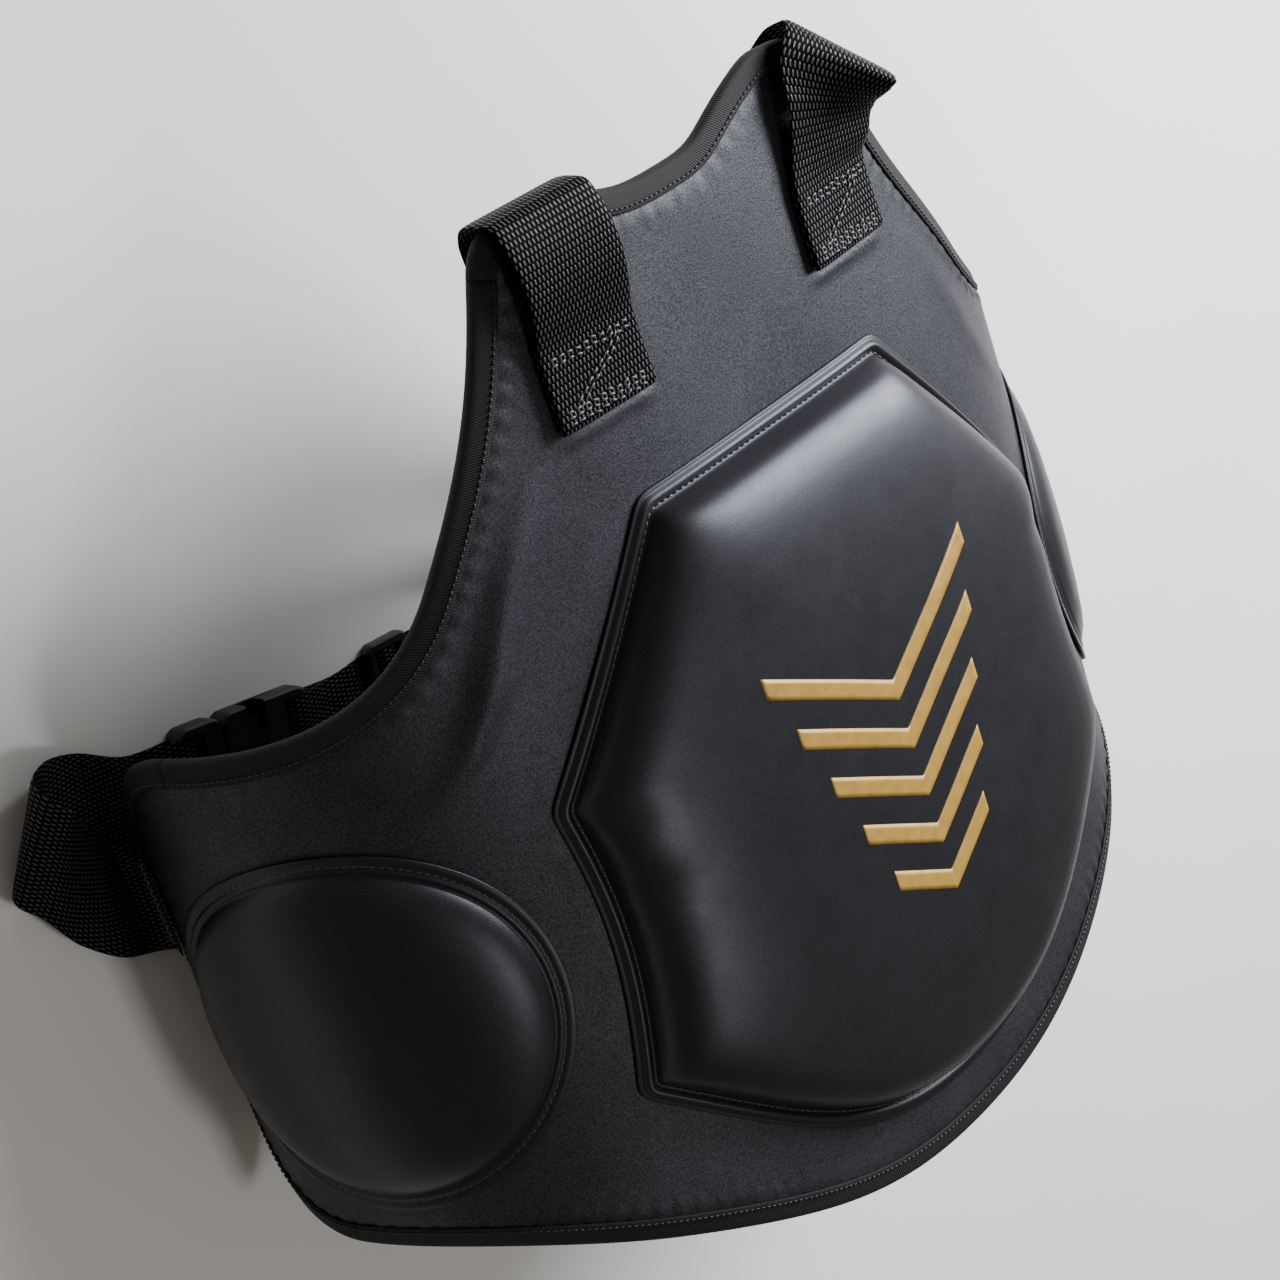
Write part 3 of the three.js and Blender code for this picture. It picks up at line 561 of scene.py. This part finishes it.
def out_normal(s):
    turn = wrap_turn(np.abs(s))
    return np.stack([np.sign(s) * np.sin(turn), np.zeros_like(turn), np.cos(turn)], -1)


def sew_flat(name, line, w, material, facing=1, size=1.0, mess=0.0):
    """Stitches along a line of the flat pattern, at depth w, on the outer or the inner face."""
    line = np.asarray(line, float)
    normal = out_normal(line[:, 0]) * facing
    sew(name, wrap(line[:, 0], line[:, 1], w), normal, material, size, mess)


# Panel

def waves(s, v):
    """Slow unevenness of the foam under the cover."""
    return 0.3 * np.sin(s / 31 + 0.7) * np.sin(v / 37 + 1.9) + 0.12 * np.sin(s / 17 + v / 23)


def armhole_ridge(s, v):
    """The soft ridge where the panel bends in below the armhole."""
    line = np.array(RIDGE, float)
    height = np.interp(v, line[::-1, 1], RIDGE_RISE[::-1], left=0, right=0)
    middle = np.interp(v, line[::-1, 1], line[::-1, 0])
    share = np.where(s < 0, 1, RIDGE_LEFT)
    return share * height * np.exp(-((np.abs(s) - middle) / RIDGE_REACH) ** 2)


def tab_press(s, v):
    """The cover dips under the sewn tabs and swells along their lower edge."""
    beside = 1 / (1 + np.exp((np.abs(np.abs(s) - TAB_GIRTH) - 24.5) / 1.6))
    swell = TAB_SWELL * np.exp(-((v - TAB_LOW + 3.4) / 2.3) ** 2)
    dip = TAB_PRESS / (1 + np.exp(-(v - TAB_LOW) / 1.2)) / (1 + np.exp((v - TAB_HIGH) / 1.5))
    return beside * (swell - dip)


def panel_columns(neck, armhole):
    """Girth, low end and high end of each column of half the panel."""
    corner = int(np.argmax(rear[:, 0] >= HALF_GIRTH - 1e-6))
    upper = np.concatenate([neck, armhole[1:], rear[1:corner + 1]])
    low_corner = rear[rear[:, 1] <= REAR_EDGE[1][1] + 1e-6]
    lower = np.concatenate([low_corner, lower_half[1:]])[::-1]
    low = np.interp(np.abs(upper[:, 0]), lower[:, 0], lower[:, 1]) + EDGE_TUCK
    return np.stack([upper[:, 0] * (1 - EDGE_TUCK / HALF_GIRTH), low, upper[:, 1] - EDGE_TUCK], -1)


def make_panel():
    left = panel_columns(neck_left, armhole_left)
    right = panel_columns(neck_right, armhole_right)[:0:-1] * [-1, 1, 1]
    s, low, high = np.concatenate([right, left]).T
    v = low[:, None] + (high - low)[:, None] * np.linspace(0, 1, PANEL_ROWS + 1)
    s = np.repeat(s[:, None], PANEL_ROWS + 1, 1)
    edge, run = edge_distance(outline[::2], np.stack([s.ravel(), v.ravel()], -1))
    edge, run = edge.reshape(s.shape), run.reshape(s.shape)
    soft = np.clip((edge - RELIEF_START) / RELIEF_REACH, 0, 1)
    gather = np.sin(2 * math.pi * run / PUCKER_PITCH)
    pucker = PUCKER_DEPTH * gather * np.exp(-((edge - PUCKER_INSET) / PUCKER_REACH) ** 2)
    relief = (waves(s, v) + armhole_ridge(s, v)) * soft + pucker + tab_press(s, v) * soft
    taper = edge_taper(edge)
    outer = wrap(s, v, PANEL_THICKNESS - taper + relief)
    inner = wrap(s, v, taper + 0.6 * armhole_ridge(s, v) * soft - pucker)
    piece = slab("panel_cover", outer, inner, [PANEL_LEATHER])
    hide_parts("shell")


# Sewn pads

def dented(s, v, dents):
    depth = np.zeros_like(s)
    for ds, dv, fall, reach in dents:
        depth += fall * np.exp(-((s - ds) ** 2 + (v - dv) ** 2) / reach ** 2)
    return depth


def make_pad(node, edge, centre, rise_table, crown, seat_insets, dents, seam):
    centre = np.array(centre, float)
    rings = [inset_ring(edge, centre, inset) for inset in seat_insets]
    depths = [np.full(len(edge), PAD_SEAT) for _ in seat_insets]
    for inset, rise in rise_table:
        ring = rounded(inset_ring(edge, centre, inset), int(np.clip((inset - 9) * 3.5, 0, 260)))
        rings.append(ring)
        share = np.clip(rise / 12, 0, 1)
        depths.append(PAD_SEAT + rise - share * dented(ring[:, 0], ring[:, 1], dents))
    points = [wrap(ring[:, 0], ring[:, 1], depth) for ring, depth in zip(rings, depths)]
    points = np.concatenate(points + [wrap([centre[0]] * 2, [centre[1]] * 2, [PAD_SEAT, PAD_SEAT + crown])])
    count = len(edge)
    here = np.arange(count)
    beside = (here + 1) % count
    last = (len(rings) - 1) * count
    bottom = np.stack([np.full(count, len(points) - 2), beside, here], -1)
    top = np.stack([np.full(count, len(points) - 1), last + here, last + beside], -1)
    faces = [ring_faces(len(rings), count), np.concatenate([bottom, top])]
    piece = mesh_object(f"{node}_cover", points, faced_out(points, faces), [PAD_LEATHER])
    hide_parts(node)
    inset, rise = seam
    line = inset_ring(edge, centre, inset)
    closed = np.concatenate([line, line[:1]])
    sew_flat(f"{node}_stitches", closed, PAD_SEAT + rise, SEAM_THREAD)
    return piece


def belly_outline():
    half = trace_edge(BELLY_TOP, BELLY_EDGE, BELLY_STEP)
    return rounded(np.concatenate([half, mirrored(half)[1:-1]]), BELLY_ROUNDING)


def side_outline(side):
    turn = np.linspace(0, 2 * math.pi, SIDE_COUNT, endpoint=False)
    circle = np.stack([np.cos(turn), np.sin(turn)], -1)
    return circle * SIDE_RADIUS + [side * SIDE_CENTRE[0], SIDE_CENTRE[1]]


def make_print(pad):
    """Gold chevrons laid on the belly pad's face."""
    surface = BVHTree.FromObject(pad, bpy.context.evaluated_depsgraph_get())
    along = np.linspace(-1, 1, PRINT_STEPS + 1)
    for number, (low, half, rise) in enumerate(PRINT_CHEVRONS, 1):
        s = np.repeat((along * half)[:, None], 5, 1)
        v = low + np.abs(along)[:, None] * rise + np.linspace(0, PRINT_STROKE, 5)[None]
        above = wrap(s, v, 60)
        down = -out_normal(s)
        top, bottom = np.zeros_like(above), np.zeros_like(above)
        for k in np.ndindex(s.shape):
            place, normal, _, _ = surface.ray_cast(Vector(above[k]), Vector(down[k]))
            top[k] = place + normal * PRINT_LIFT * MM
            bottom[k] = place - normal * PRINT_LIFT * MM
        piece = slab(f"print_chevron_{number}", top, bottom, [GOLD])


def make_pads():
    belly = make_pad("belly_pad", belly_outline(), BELLY_CENTRE, BELLY_RISE, BELLY_CROWN, BELLY_SEAT,
                     BELLY_DENTS, BELLY_SEAM)
    make_print(belly)
    for side, word in ((-1, "right"), (1, "left")):
        centre = (side * SIDE_CENTRE[0], SIDE_CENTRE[1])
        dents = [(side * s, v, fall, reach) for s, v, fall, reach in SIDE_DENTS]
        full = SIDE_FULLNESS[word]
        rise = [(inset, height * full if height > SIDE_LIP else height) for inset, height in SIDE_RISE]
        make_pad(f"side_pad_{word}", side_outline(side), centre, rise, SIDE_CROWN * full, SIDE_SEAT,
                 dents, SIDE_SEAM)


# Binding tape

def tape_section():
    """The tape's section as distance in from the edge and depth, round the panel's tapered edge."""
    outer, inner = np.array(TAPE_OUTER), np.array(TAPE_INNER)
    thin = edge_taper(np.clip(outer[:, 0], 0, None))
    lining = edge_taper(inner[:, 0])
    top = np.stack([outer[:, 0], PANEL_THICKNESS - thin + outer[:, 1]], -1)
    bottom = np.stack([outer[:, 0], thin - outer[:, 1]], -1)[::-1]
    fold = [[-1.95, PANEL_THICKNESS / 2]]
    under = np.stack([inner[:, 0], lining - inner[:, 1]], -1)[::-1]
    over = np.stack([inner[:, 0], PANEL_THICKNESS - lining + inner[:, 1]], -1)
    return np.concatenate([top, fold, bottom, under, over])


def make_binding(name, first, last):
    section = tape_section()
    count = len(outline)
    index = np.arange(first, last + 1)
    ahead = outline[(index + 1) % count] - outline[(index - 1) % count]
    ahead /= np.linalg.norm(ahead, axis=1)[:, None]
    inward = np.stack([ahead[:, 1], -ahead[:, 0]], -1)
    edge = outline[index % count].copy()
    edge[0] += ahead[0] * 0.1
    edge[-1] -= ahead[-1] * 0.1
    flat = edge[:, None] + inward[:, None] * section[None, :, :1]
    points = wrap(flat[..., 0], flat[..., 1], np.broadcast_to(section[:, 1], flat.shape[:2]))
    rings, around = points.shape[:2]
    points = points.reshape(-1, 3)
    ends = np.stack([np.arange(around)[::-1], np.arange(around) + (rings - 1) * around])
    faces = faced_out(points, [ring_faces(rings, around), ends])
    piece = mesh_object(f"{name}_tape", points, faces, [TAPE])
    run = np.concatenate([[0], np.cumsum(np.linalg.norm(np.diff(edge, axis=0), axis=1))])
    girdle = np.concatenate([[0], np.cumsum(np.linalg.norm(np.diff(section, axis=0), axis=1))])
    point_attribute(piece, "rib", run[:, None] + TAPE_SLANT * girdle[None])
    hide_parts(name)
    inset, rise = TAPE_SEAM
    rise -= edge_taper(inset)
    seam = edge + inward * inset
    sew_flat(f"{name}_stitches", seam, PANEL_THICKNESS + rise, TAPE_THREAD, size=0.8)
    sew_flat(f"{name}_back_stitches", seam, -rise, TAPE_THREAD, facing=-1, size=0.8)


def make_bindings():
    whole = len(outline)
    neck, arm, back = stretch_ends(neck_left, armhole_left)
    right_neck, right_arm, right_back = (whole - end for end in stretch_ends(neck_right, armhole_right))
    make_binding("binding_neck", right_neck - whole, neck)
    make_binding("binding_armhole_left", neck, arm)
    make_binding("binding_rear_left", arm, back)
    make_binding("binding_lower", back, right_back)
    make_binding("binding_rear_right", right_back, right_arm)
    make_binding("binding_armhole_right", right_arm, right_neck)


# Webbing: rows of a place in the pattern's millimetres and the direction of the band's width

ALONG_BODY = (0, 1, 0)
ACROSS_BODY = (1, 0, 0)


def slope(s):
    turn = wrap_turn(abs(s))
    return (math.cos(turn), 0, -math.copysign(math.sin(turn), s))


def on_panel(s, v, w, across=None):
    return wrap_mm(s, v, w), across or slope(s)


def in_air(x, y, z, across=ACROSS_BODY):
    return np.array([x, y, z], float), across


def on_floor(x, y, height, across=ACROSS_BODY):
    return np.array([x, y, FLOOR + height], float), across


def spline(rows):
    """Dense points and width directions along a smooth line through the rows."""
    places = np.array([row[0] for row in rows])
    widths = np.array([np.array(row[1], float) / np.linalg.norm(row[1]) for row in rows])
    ends = np.concatenate([[2 * places[0] - places[1]], places, [2 * places[-1] - places[-2]]])
    line, across = [], []
    for k in range(len(places) - 1):
        p0, p1, p2, p3 = ends[k:k + 4]
        t0 = 0.0
        t1 = t0 + max(np.linalg.norm(p1 - p0), 1e-6) ** 0.5
        t2 = t1 + max(np.linalg.norm(p2 - p1), 1e-6) ** 0.5
        t3 = t2 + max(np.linalg.norm(p3 - p2), 1e-6) ** 0.5
        steps = max(4, int(np.linalg.norm(p2 - p1) / 0.4))
        t = np.linspace(t1, t2, steps, endpoint=k == len(places) - 2)[:, None]
        a1 = (t1 - t) / (t1 - t0) * p0 + (t - t0) / (t1 - t0) * p1
        a2 = (t2 - t) / (t2 - t1) * p1 + (t - t1) / (t2 - t1) * p2
        a3 = (t3 - t) / (t3 - t2) * p2 + (t - t2) / (t3 - t2) * p3
        b1 = (t2 - t) / (t2 - t0) * a1 + (t - t0) / (t2 - t0) * a2
        b2 = (t3 - t) / (t3 - t1) * a2 + (t - t1) / (t3 - t1) * a3
        line.append((t2 - t) / (t2 - t1) * b1 + (t - t1) / (t2 - t1) * b2)
        share = (t - t1) / (t2 - t1)
        across.append(widths[k] * (1 - share) + widths[k + 1] * share)
    across = np.concatenate(across)
    return np.concatenate(line), across / np.linalg.norm(across, axis=1)[:, None]


def web_frames(rows):
    """Even steps along the band: centres, width directions, face normals and the run so far."""
    line, across = spline(rows)
    run = np.concatenate([[0], np.cumsum(np.linalg.norm(np.diff(line, axis=0), axis=1))])
    marks = np.linspace(0, run[-1], max(3, int(run[-1] / WEB_STEP)))
    centre = np.stack([np.interp(marks, run, line[:, i]) for i in range(3)], -1)
    wide = np.stack([np.interp(marks, run, across[:, i]) for i in range(3)], -1)
    wide /= np.linalg.norm(wide, axis=1)[:, None]
    ahead = np.gradient(centre, axis=0)
    up = np.cross(wide, ahead)
    up /= np.linalg.norm(up, axis=1)[:, None]
    return centre, wide, up, marks


def make_web(name, rows):
    centre, wide, up, run = web_frames(rows)
    half = WEB_WIDTH / 2
    across = np.linspace(half, -half, WEB_COLUMNS + 1)
    edge = np.sqrt(np.clip(1 - (np.abs(across) / (half + 0.2)) ** 10, 0, 1))
    column = np.cos(2 * math.pi * across / WEAVE_ACROSS)
    row = np.cos(math.pi * run / WEAVE_ALONG)
    crown = np.clip(column[None] * row[:, None], 0, 1)
    lift = (WEB_THICKNESS / 2 - WEAVE_DEPTH + WEAVE_DEPTH * crown) * edge
    top = centre[:, None] + wide[:, None] * across[None, :, None] + up[:, None] * lift[..., None]
    bottom = centre[:, None] + wide[:, None] * across[None, :, None] - up[:, None] * lift[..., None]
    piece = slab(f"{name}_webbing", placed(top), placed(bottom), [WEBBING])
    width = np.broadcast_to(across, crown.shape)
    point_attribute(piece, "across", np.concatenate([width, width[:, ::-1]], 1))
    point_attribute(piece, "run", np.repeat(run, 2 * len(across)))
    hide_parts(name)


def tab_rows(s):
    """The strap's folded end, sewn down on the chest."""
    middle = (TAB_OVER + TAB_UNDER) / 2
    return [
        on_panel(s, TAB_HIGH, TAB_UNDER),
        on_panel(s, TAB_LOW + 4, TAB_UNDER),
        on_panel(s, TAB_LOW + 1.2, TAB_UNDER),
        on_panel(s, TAB_LOW, middle),
        on_panel(s, TAB_LOW + 1.2, TAB_OVER),
        on_panel(s, TAB_LOW + 4, TAB_OVER),
        on_panel(s, TAB_HIGH - 2, TAB_OVER),
    ]


RIGHT_STRAP = [
    *tab_rows(RIGHT_TAB),
    on_panel(-79, 445, TAB_LIFT + 2.2),
    on_panel(-79, 458, TAB_LIFT + 5),
    on_panel(-80, 472, TAB_LIFT + 5.5),
    on_panel(-81, 483, TAB_LIFT + 3.5),
    on_panel(-82, 490, PANEL_THICKNESS + 4.2),
    on_panel(-84, 491.8, PANEL_THICKNESS - 1),
    on_panel(-84, 491.8, 1),
    on_panel(-84, 490.5, -4),
    on_panel(-83, 484, -9),
    in_air(-77, 468, -19),
    in_air(-62, 440, -38),
    in_air(-42, 395, -80),
    in_air(-18, 345, -130),
    in_air(1, 304, -172),
    on_floor(6, 284, 6.2),
    on_floor(8, 270, 4),
    on_floor(8, 236, 4),
]
LEFT_STRAP = [
    *tab_rows(LEFT_TAB),
    on_panel(84, 446, TAB_LIFT + 2.5, (0.99, -0.12, 0)),
    on_panel(86, 456, TAB_LIFT + 5, (0.98, -0.19, 0)),
    on_panel(86, 466, TAB_LIFT + 9, (0.92, -0.37, 0.08)),
    on_panel(85, 477, TAB_LIFT + 15, (0.72, -0.58, 0.38)),
    on_panel(89, 482, TAB_LIFT + 17, (0.58, -0.65, 0.48)),
    in_air(99, 485, 20, (0.6, -0.7, 0.38)),
    in_air(106.5, 483, 9, (0.66, -0.72, 0.2)),
    in_air(109.2, 482.2, 0, (0.68, -0.735, 0)),
    in_air(107.2, 480.2, -9, (0.7, -0.71, 0)),
    in_air(101, 472, -18, (0.8, -0.6, 0)),
    in_air(94, 455, -30, (0.95, -0.3, 0)),
    in_air(88, 435, -45),
    in_air(80, 400, -78),
    in_air(72, 350, -130),
    in_air(64, 302, -173),
    on_floor(62, 281, 6.2),
    on_floor(62, 266, 4),
    on_floor(62, 232, 4),
]


def bar_turn(side):
    """An end that turns round the buckle's bar and lies back on itself, where the real belt is sewn."""
    out = BUCKLE["half"]
    rows = [(out + 22, 1.35), (out - 5, 1.45), (out - 8.6, 2.6), (out - 10, 5.5), (out - 8.6, 8.8),
            (out - 5, 9.9), (out + 3, 8.6), (out + 14, 4.6), (out + 16, 4.2)]
    axis = heading(BUCKLE["heading"])
    across = (-axis[1], axis[0], 0)
    return [on_floor(*(np.array([BUCKLE["x"], BUCKLE["y"]]) + side * along * axis), height, across)
            for along, height in rows]


def at_lock(along, height):
    axis = heading(LADDER_LOCK["heading"])
    place = np.array([LADDER_LOCK["x"], LADDER_LOCK["y"]]) + along * axis
    return on_floor(*place, height, (-axis[1], axis[0], 0))


SEWN_OUT = PANEL_THICKNESS + 3.15
SEWN_IN = -1.35
RIGHT_BELT = [
    on_panel(-346, 256, SEWN_OUT, ALONG_BODY),
    on_panel(-354, 256, SEWN_OUT, ALONG_BODY),
    on_floor(-256, 256.5, 13, ALONG_BODY),
    on_floor(-261, 258, 10, ALONG_BODY),
    on_floor(-270, 263, 11.5, (0.15, 0.98, 0.08)),
    on_floor(-283, 279, 17, (0.35, 0.9, 0.25)),
    on_floor(-294, 297, 24, (0.37, 0.8, 0.47)),
    on_floor(-301, 307, 22, (0.36, 0.8, 0.45)),
    on_floor(-298, 311, 14, (0.34, 0.85, 0.38)),
    on_floor(-283, 310, 9, (0.3, 0.93, 0.2)),
    on_floor(-262, 301, 4, (0.26, 0.96, 0.05)),
    *bar_turn(-1),
]
LEFT_BELT = [
    on_panel(316, 198, SEWN_IN, ALONG_BODY),
    on_panel(330, 198, SEWN_IN, ALONG_BODY),
    on_panel(343, 198, SEWN_IN - 0.5, ALONG_BODY),
    on_floor(237, 199, 22, ALONG_BODY),
    on_floor(230, 201, 11, ALONG_BODY),
    on_floor(221, 203, 4.6, ALONG_BODY),
    on_floor(211, 206, 2.1, ALONG_BODY),
    on_floor(200, 209, FLOOR_WEB, ALONG_BODY),
    on_floor(180, 214, FLOOR_WEB, ALONG_BODY),
    on_floor(110, 233, FLOOR_WEB, ALONG_BODY),
    on_floor(30, 251, FLOOR_WEB, ALONG_BODY),
    at_lock(26, FLOOR_WEB),
    at_lock(11, FLOOR_WEB),
    at_lock(7, 2.1),
    at_lock(2.2, 4.4),
    at_lock(-2.2, 4.4),
    at_lock(-7, 2.1),
    at_lock(-11, FLOOR_WEB),
    *bar_turn(1),
]


def sew_tab(word, s):
    """The box stitching of a strap's tab: bars of thread at both ends and a slant between them."""
    w = TAB_OVER + WEB_THICKNESS / 2
    reach = np.linspace(-22, 22, 23)
    for number, v in enumerate((TAB_LOW + 3, TAB_LOW + 5.6, TAB_LOW + 8, TAB_HIGH - 8, TAB_HIGH - 5.4), 1):
        line = np.stack([s + reach, np.full_like(reach, v)], -1)
        sew_flat(f"tab_{word}_bar_{number}", line, w, TAB_THREAD, size=1.2, mess=1.0)
    slant = np.stack([s + reach * 0.7, TAB_LOW + 18 + reach * 0.42], -1)
    for number, shift in enumerate((-1.3, 1.3), 1):
        line = slant + [0, shift]
        sew_flat(f"tab_{word}_slant_{number}", line, w, TAB_THREAD, size=1.2, mess=0.8)


def sew_belt_ends():
    """Bars of thread where the belts are sewn to the panel."""
    height = np.linspace(-21, 21, 22)
    outside = SEWN_OUT + WEB_THICKNESS / 2
    inside = SEWN_IN - WEB_THICKNESS / 2
    for number, s in enumerate((-347.5, -351.5), 1):
        line = np.stack([np.full_like(height, s), 256 + height], -1)
        sew_flat(f"belt_right_bar_{number}", line, outside, TAB_THREAD, mess=0.6)
    for number, s in enumerate((319, 323, 334), 1):
        line = np.stack([np.full_like(height, s), 198 + height], -1)
        sew_flat(f"belt_left_bar_{number}", line, inside, TAB_THREAD, facing=-1, mess=0.6)


def make_webbing():
    make_web("shoulder_strap_right", RIGHT_STRAP)
    make_web("shoulder_strap_left", LEFT_STRAP)
    make_web("belt_right", RIGHT_BELT)
    make_web("belt_left", LEFT_BELT)
    sew_tab("right", RIGHT_TAB)
    sew_tab("left", LEFT_TAB)
    sew_belt_ends()


# Hardware keeps its solids

def finish_hardware():
    for node in ("buckle_plug", "buckle_socket", "ladder_lock"):
        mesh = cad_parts[node].data
        mesh.materials.clear()
        mesh.materials.append(PLASTIC)


# Stage

def make_floor():
    material, tree, shader = new_material("floor_paper", (0.78, 0.78, 0.77), 0.75)
    where = object_coordinates(tree)
    cloud = mapped(tree, noise(tree, where, 3, 3), 0, 1)
    colour = mixed(tree, cloud, (0.8, 0.8, 0.785), (0.86, 0.86, 0.845))
    tree.links.new(colour, shader.inputs["Base Color"])
    tree.links.new(bump(tree, noise(tree, where, 900, 2), 0.0002, 0.15), shader.inputs["Normal"])
    mesh = bpy.data.meshes.new("floor")
    reach = 6
    corners = [(-reach, -reach, 0), (reach, -reach, 0), (reach, reach, 0), (-reach, reach, 0)]
    mesh.from_pydata(corners, [], [(0, 1, 2, 3)])
    mesh.materials.append(material)
    floor = bpy.data.objects.new("floor", mesh)
    bpy.context.scene.collection.objects.link(floor)


def area_light(name, direction, distance, width, height, power, colour=(1, 1, 1)):
    light = bpy.data.lights.new(name, "AREA")
    light.shape = "RECTANGLE"
    light.size = width
    light.size_y = height
    light.energy = power
    light.color = colour
    lamp = bpy.data.objects.new(name, light)
    toward = Vector(direction).normalized()
    lamp.location = Vector((0, 0, 0.1)) + toward * distance
    lamp.rotation_euler = toward.to_track_quat("Z", "Y").to_euler()
    bpy.context.scene.collection.objects.link(lamp)


def make_lights():
    area_light("window", (0.74, 0.33, 0.58), 1.7, 1.1, 0.75, 84, (0.93, 0.96, 1))
    area_light("ceiling", (-0.1, -0.35, 0.9), 1.9, 0.4, 0.4, 7)
    world = bpy.data.worlds.new("studio")
    world.use_nodes = True
    back = world.node_tree.nodes["Background"]
    back.inputs["Color"].default_value = (1, 0.88, 0.76, 1)
    back.inputs["Strength"].default_value = 0.2
    bpy.context.scene.world = world


def make_camera():
    camera = bpy.data.cameras.new("camera")
    camera.lens = CAMERA_LENS
    camera.sensor_width = 36
    camera.clip_start = 0.05
    holder = bpy.data.objects.new("camera", camera)
    place = Vector(placed(CAMERA_PLACE))
    toward = Vector(placed(CAMERA_TARGET)) - place
    look = toward.to_track_quat("-Z", "Y").to_matrix().to_4x4()
    roll = Matrix.Rotation(math.radians(CAMERA_ROLL), 4, "Z")
    holder.matrix_world = Matrix.Translation(place) @ look @ roll
    bpy.context.scene.collection.objects.link(holder)
    bpy.context.scene.camera = holder


make_panel()
make_pads()
make_bindings()
make_webbing()
finish_hardware()
make_floor()
make_lights()
make_camera()
